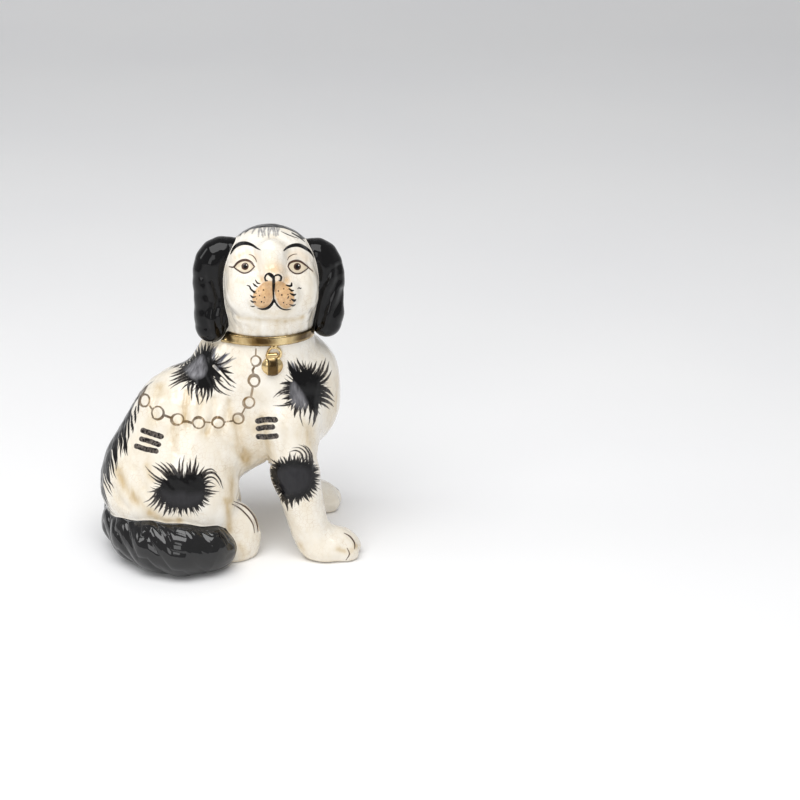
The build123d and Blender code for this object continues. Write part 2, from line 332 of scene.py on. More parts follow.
def field(p, detail=True, parts=False):
    p = p.astype(F32)
    T = trunk(p)
    FN, FF, HN, HF = foreleg_near(p), foreleg_far(p), hind_near(p), hind_far(p)
    H, ER, EL, TA = skull(p), ear_right(p), ear_left(p), tail(p)
    if parts:
        return {"trunk": T, "fn": FN, "ff": FF, "hn": HN, "hf": HF, "head": H, "er": ER, "el": EL, "tail": TA}
    body = smin(T, FN, 8)
    body = smin(body, FF, 8)
    body = smin(body, HN, 5)
    body = smin(body, HF, 5)
    bh = smin(body, H, 5)
    if detail:
        z = p[:, 2]
        on_body = ss(H - body, 1, 6)
        m = np.nonzero((on_body > 0) & (bh < 4) & (np.minimum(np.minimum(TA, ER), EL) > bh - 3))[0]
        q = p[m]
        u, v = to_px(np.stack([q[:, 0], -np.abs(q[:, 1]), q[:, 2]], -1))
        bh[m] -= body_relief(q, u.astype(F32), v.astype(F32)) * on_body[m]
        m = np.nonzero((z > 158) & (bh < 4) & (body - H > 0))[0]
        q = p[m]
        f = np.nonzero(q[:, 1] < -13)[0]
        u, v = to_px(q[f])
        d = np.zeros(len(q), F32)
        d[f] = face_relief(q[f], u.astype(F32), v.astype(F32))
        bh[m] -= d * ss(body[m] - H[m], 0, 5) * ss(z[m], 158, 163)
        m = np.nonzero((z > 150) & (z < 178) & (bh < 4))[0]
        q = p[m]
        throat = ss(q[:, 2], 152, 158) * (1 - ss(q[:, 2], 166, 176)) * ss(-q[:, 1], -4, 10)
        bh[m] -= 0.10 * np.sin(q[:, 0] * 1.5 + 0.6 * wob(q, 9, 0.4)) * throat
        bh = bh - 0.16 * wob(p, 5.0, 3.0) - 0.10 * wob(p, 2.4, 5.0)
        m = np.nonzero((ER < 6) & (ER < bh + 4))[0]
        ER[m] -= ear_relief(p[m], EAR_R, -1, LOCKS_R) * ss(bh[m] - ER[m], 0.5, 5)
        m = np.nonzero((EL < 6) & (EL < bh + 4))[0]
        EL[m] -= ear_relief(p[m], EAR_L, 1, LOCKS_L) * ss(bh[m] - EL[m], 0.5, 5)
        m = np.nonzero((TA < 6) & (TA < bh + 4))[0]
        TA[m] -= tail_relief(p[m]) * ss(bh[m] - TA[m], 0.3, 5)
    f = smin(bh, TA, 1.6)
    f = smin(f, ER, 1.4)
    f = smin(f, EL, 1.4)
    return smax(f, -p[..., 2], 2.0)


TET = np.array([[1, -1, -1], [-1, -1, 1], [-1, 1, -1], [1, 1, 1]], float)


def with_slope(fun, p, e=0.12):
    vals = [fun(p + k * e) for k in TET]
    g = sum(k[None, :] * w[:, None] for k, w in zip(TET, vals)) / (4 * e)
    return sum(vals) / 4.0, g


def settle(p, steps, fun=field, most=1.0, e=0.12):
    for _ in range(steps):
        f, g = with_slope(fun, p, e)
        gg = (g * g).sum(-1) + 1e-6
        step = np.clip(f / np.sqrt(gg), -most, most)
        p = p - step[:, None] * g / np.sqrt(gg)[:, None]
    return p


def settle_on_seam(p, seam_fun, steps=4):
    for _ in range(steps):
        f, gf = with_slope(field, p)
        h, gh = with_slope(seam_fun, p)
        a, b, c = (gf * gf).sum(-1), (gf * gh).sum(-1), (gh * gh).sum(-1)
        det = a * c - b * b + 1e-4
        x = (-f * c + h * b) / det
        y = (-h * a + f * b) / det
        move = x[:, None] * gf + y[:, None] * gh
        size = np.sqrt((move * move).sum(-1, keepdims=True)) + 1e-9
        p = p + move * np.minimum(1.0, 0.8 / size)
    return p


# ------------------------------------------------------------------ base mesh
def nets(fun, low, high, h):
    n = [int(math.ceil((b - a) / h)) + 1 for a, b in zip(low, high)]
    ax = [low[i] + h * np.arange(n[i]) for i in range(3)]
    F = np.empty(n, F32)
    Y, Z = np.meshgrid(ax[1], ax[2], indexing="ij")
    for i, x in enumerate(ax[0]):
        F[i] = fun(np.stack([np.full_like(Y, x), Y, Z], -1))
    S = F < 0
    nx, ny, nz = n
    corners = [(i, j, k) for i in (0, 1) for j in (0, 1) for k in (0, 1)]
    cnt = sum(S[i:nx - 1 + i, j:ny - 1 + j, k:nz - 1 + k].astype(np.int8) for i, j, k in corners)
    act = (cnt > 0) & (cnt < 8)
    ids = np.argwhere(act)
    idx = -np.ones(act.shape, np.int64)
    idx[act] = np.arange(len(ids))
    vals = {c: F[ids[:, 0] + c[0], ids[:, 1] + c[1], ids[:, 2] + c[2]] for c in corners}
    acc = np.zeros((len(ids), 3))
    hits = np.zeros(len(ids))
    for a in corners:
        for axis in range(3):
            if a[axis]:
                continue
            b = tuple(1 if i == axis else a[i] for i in range(3))
            fa, fb = vals[a], vals[b]
            m = (fa < 0) != (fb < 0)
            t = np.where(m, fa / np.where(m, fa - fb, 1), 0)
            pos = np.array(a, float)[None, :] + t[:, None] * (np.array(b) - np.array(a))[None, :]
            acc += pos * m[:, None]
            hits += m
    V = (ids + acc / hits[:, None]) * h + np.array(low)
    quads = []
    for axis in range(3):
        o1, o2 = [(1, 2), (2, 0), (0, 1)][axis]
        sl0 = [slice(1, -1)] * 3
        sl1 = [slice(1, -1)] * 3
        sl0[axis] = slice(0, -1)
        sl1[axis] = slice(1, None)
        A, B = S[tuple(sl0)], S[tuple(sl1)]
        I = np.argwhere(A != B)
        base = I.copy()
        base[:, o1] += 1
        base[:, o2] += 1
        inside = A[tuple(I.T)]
        e1 = np.zeros(3, int)
        e2 = np.zeros(3, int)
        e1[o1] = 1
        e2[o2] = 1
        get = lambda q: idx[q[:, 0], q[:, 1], q[:, 2]]
        a, b, c, d = get(base - e1 - e2), get(base - e2), get(base), get(base - e1)
        q = np.stack([a, b, c, d], 1)
        q[~inside] = q[~inside][:, ::-1]
        quads.append(q)
    Q = np.concatenate(quads)
    d1 = np.linalg.norm(V[Q[:, 0]] - V[Q[:, 2]], axis=1)
    d2 = np.linalg.norm(V[Q[:, 1]] - V[Q[:, 3]], axis=1)
    first = (d1 <= d2)[:, None]
    T = np.concatenate([np.where(first, Q[:, [0, 1, 2]], Q[:, [0, 1, 3]]),
                        np.where(first, Q[:, [0, 2, 3]], Q[:, [1, 2, 3]])])
    return V, T


class Mesh:
    def __init__(self, V, T):
        self.V = V
        self.T = T
        self.lab = np.zeros(len(T), int)
        self.kind = np.zeros(len(T), int)      # 0 outside, 1 inside wall, 2 rim
        self.fixed = np.zeros(len(V), bool)    # never settled
        self.seam = np.zeros(len(V), int)

    def edges(self, tris):
        T = self.T[tris]
        E = np.concatenate([T[:, [0, 1]], T[:, [1, 2]], T[:, [2, 0]]])
        E = np.sort(E, 1)
        key = E[:, 0] * (len(self.V) + 1) + E[:, 1]
        return E, key

    def add(self, P, fixed, seam):
        start = len(self.V)
        self.V = np.concatenate([self.V, P])
        self.fixed = np.concatenate([self.fixed, np.broadcast_to(fixed, len(P))])
        self.seam = np.concatenate([self.seam, np.broadcast_to(seam, len(P))])
        return start

    def divide(self, E, new):
        """Splits every triangle that holds one of the edges E at vertices new."""
        big = len(self.V) + 1
        key = E[:, 0] * big + E[:, 1]
        order = np.argsort(key)
        key, new = key[order], new[order]
        T = self.T
        mid = -np.ones((len(T), 3), int)
        for i, (a, b) in enumerate(((0, 1), (1, 2), (2, 0))):
            lo = np.minimum(T[:, a], T[:, b])
            hi = np.maximum(T[:, a], T[:, b])
            k = lo * big + hi
            pos = np.clip(np.searchsorted(key, k), 0, len(key) - 1)
            hit = key[pos] == k
            mid[hit, i] = new[pos[hit]]
        n = (mid >= 0).sum(1)
        keep = n == 0
        out, src = [T[keep]], [np.nonzero(keep)[0]]
        rows = np.nonzero(n == 1)[0]
        if len(rows):
            r = np.argmax(mid[rows] >= 0, 1)
            t = np.stack([T[rows, (r + i) % 3] for i in range(3)], 1)
            m = mid[rows, r]
            out += [np.stack([t[:, 0], m, t[:, 2]], 1), np.stack([m, t[:, 1], t[:, 2]], 1)]
            src += [rows, rows]
        rows = np.nonzero(n == 2)[0]
        if len(rows):
            r = (np.argmax(mid[rows] < 0, 1) + 1) % 3     # first of the two split edges
            t = np.stack([T[rows, (r + i) % 3] for i in range(3)], 1)
            m0, m1 = mid[rows, r], mid[rows, (r + 1) % 3]
            out.append(np.stack([m0, t[:, 1], m1], 1))
            src.append(rows)
            da = np.linalg.norm(self.V[t[:, 0]] - self.V[m1], axis=1)
            db = np.linalg.norm(self.V[t[:, 2]] - self.V[m0], axis=1)
            f = (da <= db)[:, None]
            out += [np.where(f, np.stack([t[:, 0], m0, m1], 1), np.stack([t[:, 0], m0, t[:, 2]], 1)),
                    np.where(f, np.stack([t[:, 0], m1, t[:, 2]], 1), np.stack([m0, m1, t[:, 2]], 1))]
            src += [rows, rows]
        rows = np.nonzero(n == 3)[0]
        if len(rows):
            t, m = T[rows], mid[rows]
            out += [np.stack([t[:, 0], m[:, 0], m[:, 2]], 1), np.stack([m[:, 0], t[:, 1], m[:, 1]], 1),
                    np.stack([m[:, 2], m[:, 1], t[:, 2]], 1), m]
            src += [rows] * 4
        src = np.concatenate(src)
        self.T = np.concatenate(out)
        self.lab = self.lab[src]
        self.kind = self.kind[src]

    def cut(self, labels, fun, new_label, sid):
        """Triangles of labels where fun < 0 get new_label, along a clean seam."""
        tri = np.nonzero(np.isin(self.lab, labels))[0]
        vs = np.unique(self.T[tri])
        h = np.full(len(self.V), 1e3)
        h[vs] = fun(self.V[vs])
        near = vs[(np.abs(h[vs]) < 0.28) & (self.seam[vs] == 0)]
        if len(near):
            moved = settle_on_seam(self.V[near], fun)
            ok = np.linalg.norm(moved - self.V[near], axis=1) < 1.2
            self.V[near[ok]] = moved[ok]
            h[near[ok]] = 0
            self.seam[near[ok]] = sid
        E, key = self.edges(tri)
        _, first = np.unique(key, return_index=True)
        E = E[first]
        a, b = h[E[:, 0]], h[E[:, 1]]
        m = (a * b) < 0
        E, a, b = E[m], a[m], b[m]
        if len(E):
            t = (a / (a - b))[:, None]
            P = self.V[E[:, 0]] * (1 - t) + self.V[E[:, 1]] * t
            crossing = self.seam[E[:, 0]] * (self.seam[E[:, 0]] == self.seam[E[:, 1]])
            free = crossing == 0
            better = settle_on_seam(P, fun)
            ok = (np.linalg.norm(better - P, axis=1) < 1.2) & free
            P = np.where(ok[:, None], better, P)
            start = self.add(P, False, np.where(free, sid, crossing))
            h = np.concatenate([h, np.zeros(len(P))])
            self.divide(E, start + np.arange(len(P)))
        tri = np.isin(self.lab, labels)
        side = h[self.T].sum(1)
        centre = self.V[self.T].mean(1)
        flat = tri & (np.abs(side) < 1e-6)
        if flat.any():
            side[flat] = fun(centre[flat])
        self.lab[tri & (side < 0)] = new_label

    def refine(self, size, rounds, seam_funs):
        """Splits outside edges longer than size(points, labels)."""
        done = 0
        for _ in range(rounds):
            tri = np.nonzero((self.kind == 0) & (self.T.max(1) >= done))[0]
            E, key = self.edges(tri)
            lab3 = np.tile(self.lab[tri], 3)
            fresh = E[:, 1] >= done
            E, key, lab3 = E[fresh], key[fresh], lab3[fresh]
            order = np.argsort(key, kind="stable")
            key, E, lab3 = key[order], E[order], lab3[order]
            first = np.r_[True, key[1:] != key[:-1]]
            start = np.nonzero(first)[0]
            lo = np.minimum.reduceat(lab3, start)
            hi = np.maximum.reduceat(lab3, start)
            E, lab1 = E[start], lab3[start]
            mid = (self.V[E[:, 0]] + self.V[E[:, 1]]) / 2
            length = np.linalg.norm(self.V[E[:, 0]] - self.V[E[:, 1]], axis=1)
            want = size(mid, lab1, E, length)
            done = len(self.V)
            m = length > want
            if not m.any():
                break
            E, mid, lo, hi = E[m], mid[m], lo[m], hi[m]
            sid = np.where((lo != hi) & (self.seam[E[:, 0]] > 0) & (self.seam[E[:, 1]] > 0),
                           np.maximum(self.seam[E[:, 0]], self.seam[E[:, 1]]), 0)
            new = mid.copy()
            plain = sid == 0
            new[plain] = settle(mid[plain], 1, most=0.6)
            for s in np.unique(sid[~plain]):
                rows = np.nonzero(sid == s)[0]
                moved = settle_on_seam(mid[rows], seam_funs[s], 2)
                ok = np.linalg.norm(moved - mid[rows], axis=1) < 0.6
                new[rows[ok]] = moved[ok]
            first_new = self.add(new, False, sid)
            self.divide(E, first_new + np.arange(len(new)))
            say("refined", len(self.V), "points", len(self.T), "faces")


def vertex_normals(V, T):
    n = np.cross(V[T[:, 1]] - V[T[:, 0]], V[T[:, 2]] - V[T[:, 0]])
    out = np.zeros_like(V)
    for i in range(3):
        for c in range(3):
            out[:, c] += np.bincount(T[:, i], weights=n[:, c], minlength=len(V))
    return out / (np.linalg.norm(out, axis=1, keepdims=True) + 1e-12)


say("fields ready")
V, T = nets(lambda p: field(p, detail=False), (-96, -74, -6), (92, 62, 235), 2.0)
V = settle(V, 4, most=1.5)
say("base mesh", len(V), len(T))
# the whole surface net becomes the body mesh, to be cut into pieces
body = Mesh(V, T)

# ------------------------------------------------------------------ seams
P = lambda p: field(p, parts=True)
LABELS = ["right_body_shell", "left_body_shell", "foot_slab", "face_shell", "nape_shell", "right_ear", "left_ear",
          "right_foreleg", "left_foreleg", "right_hind_paw", "left_hind_paw", "tail"]
L = {name: i for i, name in enumerate(LABELS)}


def near_box(p, lo, hi, h):
    inside = np.ones(p.shape[:-1], bool)
    for i in range(3):
        inside &= (p[..., i] > lo[i]) & (p[..., i] < hi[i])
    return np.where(inside, h, 5.0)


def seam_ear_r(p):
    d = P(p)
    return near_box(p, (-30, -40, 140), (20, 30, 235), d["er"] - np.minimum(d["head"], d["trunk"]))


def seam_ear_l(p):
    d = P(p)
    return near_box(p, (40, -40, 140), (90, 30, 235), d["el"] - np.minimum(d["head"], d["trunk"]))


def seam_tail(p):
    d = P(p)
    return near_box(p, (-100, -80, -10), (20, 50, 50), d["tail"] - np.minimum(np.minimum(d["trunk"], d["hn"]), d["hf"]))


def seam_fore_n(p):
    return near_box(p, (15, -70, -10), (100, 0, 104), 2.6 - P(p)["trunk"])


def seam_fore_f(p):
    return near_box(p, (15, 0, -10), (100, 70, 104), 2.6 - P(p)["trunk"])


def seam_hind_n(p):
    return near_box(p, (-30, -60, -10), (30, -5, 40), 1.8 - P(p)["trunk"])


def seam_hind_f(p):
    return near_box(p, (-30, 5, -10), (30, 60, 40), 1.8 - P(p)["trunk"])


NECK_C, NECK_SLOPE = np.array([27.3, -9.0, 153.8]), -0.125


def seam_neck(p):
    return NECK_C[2] + NECK_SLOPE * (p[..., 1] - NECK_C[1]) - p[..., 2]


def seam_head(p):
    return -(p[..., 1] + 9.0)


def seam_side(p):
    return -p[..., 1] * 1.0


def seam_slab(p):
    q = p.copy()
    q[..., 2] = 3.0
    return np.where(p[..., 2] < 0.3, P(q)["trunk"] + 4.2, 5.0)


def seam_vent(p):
    return np.where(p[..., 2] < 0.3, np.hypot(p[..., 0] + 42.0, p[..., 1]) - 4.0, 5.0)


SEAMS = {12: seam_vent, 1: seam_ear_r, 2: seam_ear_l, 3: seam_tail, 4: seam_fore_n, 5: seam_fore_f, 6: seam_hind_n, 7: seam_hind_f,
         8: seam_neck, 9: seam_head, 10: seam_side, 11: seam_slab}
R0 = L["right_body_shell"]
body.cut([R0], seam_ear_r, L["right_ear"], 1)
body.cut([R0], seam_ear_l, L["left_ear"], 2)
body.cut([R0], seam_tail, L["tail"], 3)
body.cut([R0], seam_hind_n, L["right_hind_paw"], 6)
body.cut([R0], seam_hind_f, L["left_hind_paw"], 7)
body.cut([R0], seam_fore_n, L["right_foreleg"], 4)
body.cut([R0], seam_fore_f, L["left_foreleg"], 5)
body.cut([R0], seam_neck, L["face_shell"], 8)
body.cut([L["face_shell"]], seam_head, L["nape_shell"], 9)
body.cut([R0], seam_slab, L["foot_slab"], 11)
body.cut([R0], seam_side, L["left_body_shell"], 10)
body.cut([L["foot_slab"]], seam_vent, 99, 12)
keep = body.lab != 99
body.T, body.lab, body.kind = body.T[keep], body.lab[keep], body.kind[keep]
say("seams cut", len(body.V), len(body.T), {n: int((body.lab == i).sum()) for n, i in L.items()})

# ------------------------------------------------------------------ walls
WALL = {"right_body_shell": 4, "left_body_shell": 4, "foot_slab": 3.8, "face_shell": 4, "nape_shell": 4, "right_ear": 3, "left_ear": 3,
        "right_foreleg": 3.5, "left_foreleg": 3.5, "right_hind_paw": 3, "left_hind_paw": 3, "tail": 3.5}
vn = vertex_normals(body.V, body.T)
Ea, _ = body.edges(np.arange(len(body.T)))
for _ in range(12):
    acc = vn.copy()
    for c in range(3):
        acc[:, c] += np.bincount(Ea[:, 0], weights=vn[Ea[:, 1], c], minlength=len(vn))
        acc[:, c] += np.bincount(Ea[:, 1], weights=vn[Ea[:, 0], c], minlength=len(vn))
    vn = acc / (np.linalg.norm(acc, axis=1, keepdims=True) + 1e-12)
for name, k in L.items():
    tri = np.nonzero(body.lab == k)[0]
    if not len(tri):
        say("no faces for", name)
        continue
    t = body.T[tri]
    vs, inv = np.unique(t, return_inverse=True)
    inv = inv.reshape(t.shape)
    inner = body.V[vs] - vn[vs] * WALL[name]
    if name == "foot_slab":
        inner = body.V[vs] + np.array([0, 0, WALL[name]])
    inner[:, 2] = np.maximum(inner[:, 2], 0.6)
    E = np.concatenate([t[:, [0, 1]], t[:, [1, 2]], t[:, [2, 0]]])
    Es = np.sort(E, 1)
    key = Es[:, 0] * (len(body.V) + 1) + Es[:, 1]
    _, back, count = np.unique(key, return_inverse=True, return_counts=True)
    rim = E[count[back] == 1]
    start = body.add(inner, True, 0)
    look = np.zeros(len(body.V), int)
    look[vs] = start + np.arange(len(vs))
    walls = (start + inv)[:, ::-1]
    a, b = rim[:, 0], rim[:, 1]
    rims = np.concatenate([np.stack([b, a, look[a]], 1), np.stack([b, look[a], look[b]], 1)])
    body.T = np.concatenate([body.T, walls, rims])
    body.lab = np.concatenate([body.lab, np.full(len(walls) + len(rims), k)])
    body.kind = np.concatenate([body.kind, np.full(len(walls), 1), np.full(len(rims), 2)])
say("walls", len(body.V), len(body.T))

# ------------------------------------------------------------------ painting
# Brush strokes are laid out from the viewing station, in eight-hundredths of
# its frame's width, and wrapped on the form; the far side carries the same hand.


def bow(x0, y0, x1, y1, bend, w, n=4, tip=0.15, root=1.0):
    """A tapered stroke: root, tip, sideways bend, half width at the root."""
    t = np.linspace(0, 1, n + 1)
    cx = (x0 + x1) / 2 - (y1 - y0) * bend
    cy = (y0 + y1) / 2 + (x1 - x0) * bend
    x = (1 - t) ** 2 * x0 + 2 * t * (1 - t) * cx + t * t * x1
    y = (1 - t) ** 2 * y0 + 2 * t * (1 - t) * cy + t * t * y1
    r = 1.22 * w * (root + (1 - root) * np.minimum(1, t * 3)) * (1 - t ** 1.9) + tip * t
    return [(x[i], y[i], r[i], x[i + 1], y[i + 1], r[i + 1]) for i in range(n)]


def line(points, w, taper=True):
    """A stroke through points; w is one half width or one for each point."""
    n = len(points)
    if np.isscalar(w):
        w = [w * (0.35 + 0.65 * math.sin(math.pi * (i + 0.5) / n)) if taper else w for i in range(n)]
    return [(points[i][0], points[i][1], w[i], points[i + 1][0], points[i + 1][1], w[i + 1]) for i in range(n - 1)]


def curve(points, w, n=5):
    """A smooth stroke through points, with half widths w given at each."""
    P0 = np.array(points, float)
    W0 = np.full(len(P0), w, float) if np.isscalar(w) else np.array(w, float)
    out = []
    k = len(P0)
    for i in range(k - 1):
        a, b = P0[i], P0[i + 1]
        pa, nb = P0[max(i - 1, 0)], P0[min(i + 2, k - 1)]
        for j in range(n):
            t0, t1 = j / n, (j + 1) / n
            pts = []
            for t in (t0, t1):
                q = 0.5 * ((2 * a) + (b - pa) * t + (2 * pa - 5 * a + 4 * b - nb) * t * t + (3 * a - pa - 3 * b + nb) * t ** 3)
                pts.append((q[0], q[1], W0[i] * (1 - t) + W0[i + 1] * t))
            out.append(pts[0] + pts[1])
    return out


def ring(cx, cy, rx, ry, w, a0=0.0, a1=360.0, n=14, w1=None):
    a = np.radians(np.linspace(a0, a1, n + 1))
    ww = np.linspace(w, w if w1 is None else w1, n + 1)
    return [(cx + rx * math.cos(a[i]), cy + ry * math.sin(a[i]), ww[i],
             cx + rx * math.cos(a[i + 1]), cy + ry * math.sin(a[i + 1]), ww[i + 1]) for i in range(n)]


def capsules(u, v, strokes, warp=0.0):
    """Signed distance to a set of tapered strokes."""
    best = np.full(u.shape, 1e3, F32)
    s = np.array(strokes, float)
    lo_x = np.minimum(s[:, 0], s[:, 3]) - 6
    hi_x = np.maximum(s[:, 0], s[:, 3]) + 6
    lo_y = np.minimum(s[:, 1], s[:, 4]) - 6
    hi_y = np.maximum(s[:, 1], s[:, 4]) + 6
    order = np.argsort(u)
    us = u[order]
    for i in range(len(s)):
        a, b = np.searchsorted(us, (lo_x[i], hi_x[i]))
        if a == b:
            continue
        rows = order[a:b]
        vv = v[rows]
        rows = rows[(vv > lo_y[i]) & (vv < hi_y[i])]
        if not len(rows):
            continue
        x0, y0, r0, x1, y1, r1 = s[i]
        dx, dy = x1 - x0, y1 - y0
        du, dv = u[rows] - x0, v[rows] - y0
        h = np.clip((du * dx + dv * dy) / (dx * dx + dy * dy + 1e-9), 0, 1)
        d = np.sqrt((du - h * dx) ** 2 + (dv - h * dy) ** 2) - (r0 + h * (r1 - r0))
        best[rows] = np.minimum(best[rows], d)
    return best


def blob(u, v, poly):
    """Signed distance to a closed outline."""
    P0 = np.array(poly, float)
    best = np.full(u.shape, 1e3, F32)
    inside = np.zeros(u.shape, bool)
    k = len(P0)
    near = (u > P0[:, 0].min() - 8) & (u < P0[:, 0].max() + 8) & (v > P0[:, 1].min() - 8) & (v < P0[:, 1].max() + 8)
    un, vn_ = u[near], v[near]
    bn = np.full(un.shape, 1e3)
    ins = np.zeros(un.shape, bool)
    for i in range(k):
        x0, y0 = P0[i]
        x1, y1 = P0[(i + 1) % k]
        dx, dy = x1 - x0, y1 - y0
        du, dv = un - x0, vn_ - y0
        h = np.clip((du * dx + dv * dy) / (dx * dx + dy * dy + 1e-9), 0, 1)
        bn = np.minimum(bn, np.sqrt((du - h * dx) ** 2 + (dv - h * dy) ** 2))
        cross = (y0 > vn_) != (y1 > vn_)
        with np.errstate(divide="ignore", invalid="ignore"):
            xc = x0 + (vn_ - y0) * dx / (dy if dy else 1e-9)
        ins ^= cross & (un < xc)
    best[near] = np.where(ins, -bn, bn)
    return best


def smooth_outline(poly, n=5):
    P0 = np.array(poly, float)
    k = len(P0)
    out = []
    for i in range(k):
        pa, a, b, nb = P0[i - 1], P0[i], P0[(i + 1) % k], P0[(i + 2) % k]
        for j in range(n):
            t = j / n
            out.append(0.5 * ((2 * a) + (b - pa) * t + (2 * pa - 5 * a + 4 * b - nb) * t * t + (3 * a - pa - 3 * b + nb) * t ** 3))
    return [tuple(q) for q in out]


def spikes(poly, count, length, lean, width, seed, arc=(0, 1), fall=0.0):
    """Short tapering hairs all round an outline, leaning along it."""
    P0 = np.array(poly, float)
    c = P0.mean(0)
    seg = np.linalg.norm(np.roll(P0, -1, 0) - P0, axis=1)
    cum = np.r_[0, np.cumsum(seg)]
    rng = np.random.default_rng(seed)
    out = []
    for i in range(count):
        f = arc[0] + (arc[1] - arc[0]) * (i + 0.5 + rng.uniform(-0.3, 0.3)) / count
        s = (f % 1.0) * cum[-1]
        j = min(int(np.searchsorted(cum, s) - 1), len(P0) - 1)
        j = max(j, 0)
        t = (s - cum[j]) / seg[j]
        q = P0[j] * (1 - t) + P0[(j + 1) % len(P0)] * t
        away = q - c
        away /= np.linalg.norm(away)
        along = np.array([-away[1], away[0]])
        d = away + lean * along * rng.uniform(0.5, 1.5) + np.array([0, fall])
        d /= np.linalg.norm(d)
        ln = length * rng.uniform(0.6, 1.25)
        start = q - away * 2.0
        end = q + d * ln
        out += bow(start[0], start[1], end[0], end[1], rng.uniform(-0.22, 0.22) + 0.1 * lean, width * rng.uniform(0.7, 1.2), tip=0.1)
    return out


# --- shoulder patch
SHOULDER_CORE = smooth_outline([(187, 367), (195, 359), (203, 352), (209, 352), (213, 360), (219, 369), (224, 375), (220, 379),
                                (214, 376), (212, 386), (206, 388), (200, 387), (194, 382), (188, 377)])
SHOULDER = []
for a in [(186, 367, 171, 374, -0.10, 1.2), (186, 370, 169, 377, -0.10, 1.2), (187, 373, 169.5, 381, -0.08, 1.3),
          (189, 376, 168, 386.5, 0.05, 1.2), (191, 379, 170, 389, 0.16, 0.9), (193, 381, 180, 391, 0.10, 0.8),
          (188, 365, 175, 368, -0.12, 0.8), (189, 383, 189, 396, 0.10, 1.2), (193, 384, 192, 401, 0.12, 1.1),
          (197, 386, 199.5, 405.5, 0.14, 1.3), (201, 386, 203, 400, 0.06, 1.0), (205, 386, 199.5, 405, -0.20, 1.0),
          (208, 386, 206, 403.5, -0.14, 1.4), (211, 384, 210.5, 399, -0.14, 1.2), (212, 383, 222, 394, 0.22, 0.9),
          (213, 380, 231, 396, 0.30, 0.9), (216, 378, 234, 391.5, 0.22, 1.0), (219, 375, 236, 388, 0.10, 1.5),
          (221, 372, 236.5, 384, 0.04, 1.5), (221, 370, 234, 373.5, 0.05, 1.3), (220, 372, 229, 379, -0.05, 1.2),
          (219, 368, 232, 366, 0.16, 0.8), (216, 365, 233, 356, 0.20, 0.8), (214, 362, 226, 352, 0.2, 0.7),
          (187, 367, 181, 357, 0.1, 1.0), (189, 364, 184.5, 355, 0.12, 1.1), (192, 362, 187, 351.5, 0.10, 1.1),
          (194, 360, 190.5, 348.5, 0.10, 1.1), (197, 358, 194, 346.5, 0.10, 1.1), (199, 356, 198, 344.5, 0.10, 1.1),
          (202, 354, 201.5, 342.5, 0.08, 1.1), (204, 353, 205.5, 342, 0.06, 1.0), (207, 354, 210.5, 344, -0.10, 1.0),
          (210, 356, 215.5, 345, -0.2, 0.8)]:
    SHOULDER += bow(*a)
SHOULDER_SOFT = []
for a in [(213, 362, 218, 345, -0.25, 2.2), (216, 366, 230, 353, -0.18, 2.4), (218, 369, 236, 358, -0.12, 1.8),
          (211, 357, 213, 344, 0.1, 1.6)]:
    SHOULDER_SOFT += bow(*a)
# painted reflection: a light sheen laid over the left part of the shoulder patch
SHOULDER_SHEEN = smooth_outline([(186, 371), (189, 366.5), (196, 360), (202, 356), (205, 362), (206, 370), (203, 376), (197, 378), (190, 376)])
SHOULDER_CUT = bow(214, 366, 233, 387, -0.03, 1.1) + bow(221, 378, 231, 388, 0.0, 0.9)

# --- haunch patch
HAUNCH_CORE = smooth_outline([(161, 484), (167, 480), (175, 477), (185, 478), (195, 476), (203, 481), (205, 490), (203, 500), (197, 506),
                              (188, 508), (178, 508), (168, 504), (161, 496)])
HAUNCH = []
for a in [(166, 482, 145, 465.5, -0.16, 1.0), (165, 484, 148, 474, -0.1, 0.8), (170, 480, 151.5, 465, 0.12, 1.5), (173, 480, 155, 462.5, 0.12, 1.2),
          (174, 480, 160, 461.5, 0.16, 1.4), (177, 479, 166, 462, 0.2, 1.5), (178, 479, 170, 463, 0.2, 1.2),
          (180, 480, 180, 457, -0.08, 1.3), (182, 480, 184.5, 455, -0.08, 1.1), (186, 480, 187, 462, 0.08, 1.3), (188, 480, 190, 458, 0.08, 1.5),
          (191, 480, 196.5, 455, 0.05, 1.6), (193, 480, 199, 462, 0.05, 1.2), (196, 480, 204.5, 466, 0.0, 1.2), (198, 480, 207, 470, 0.08, 1.2),
          (157, 489, 143.5, 502.5, -0.28, 0.9), (159, 490, 146.5, 507, -0.22, 1.2), (161, 493, 150, 508, -0.12, 1.2), (163, 496, 153.5, 511, -0.1, 1.5),
          (164, 499, 158, 513, -0.1, 1.3), (168, 502, 162.5, 517, -0.1, 1.6), (171, 504, 168.5, 515.5, -0.08, 1.5), (175, 505, 174, 514, 0.05, 1.2),
          (180, 506, 181.5, 516.5, 0.05, 1.6), (185, 506, 187.5, 515, 0.05, 1.5), (190, 505, 193.5, 513, 0.05, 1.5), (195, 504, 199.5, 511, 0.05, 1.5),
          (199, 501, 204.5, 507.5, 0.0, 1.4), (202, 497, 209, 501.5, 0.0, 1.3), (203, 492, 216, 494, 0.05, 1.3), (203, 489, 219.5, 491.5, 0.08, 0.9),
          (203, 486, 216, 486, 0.12, 1.1), (163, 492, 150, 498, -0.1, 0.9), (161, 487, 147, 492, -0.2, 0.8)]:
    HAUNCH += bow(*a)
for pts, w in [(((199, 482), (206, 474), (214, 473), (220, 480), (223, 489)), (1.8, 1.5, 1.2, 0.8, 0.15)),
               (((200, 484), (207, 478), (213, 477.5), (218, 482), (221, 488)), (1.4, 1.1, 0.8, 0.5, 0.1)),
               (((199, 480), (204, 472), (211, 469), (217, 473)), (1.4, 1.1, 0.7, 0.1)),
               (((202, 486), (209, 482), (216, 485)), (1.2, 0.8, 0.1))]:
    HAUNCH += curve(pts, w)
HAUNCH_GREY = smooth_outline([(162, 491), (172, 493), (184, 492), (188, 494), (203, 493), (201, 501), (190, 506), (176, 506), (165, 500)])

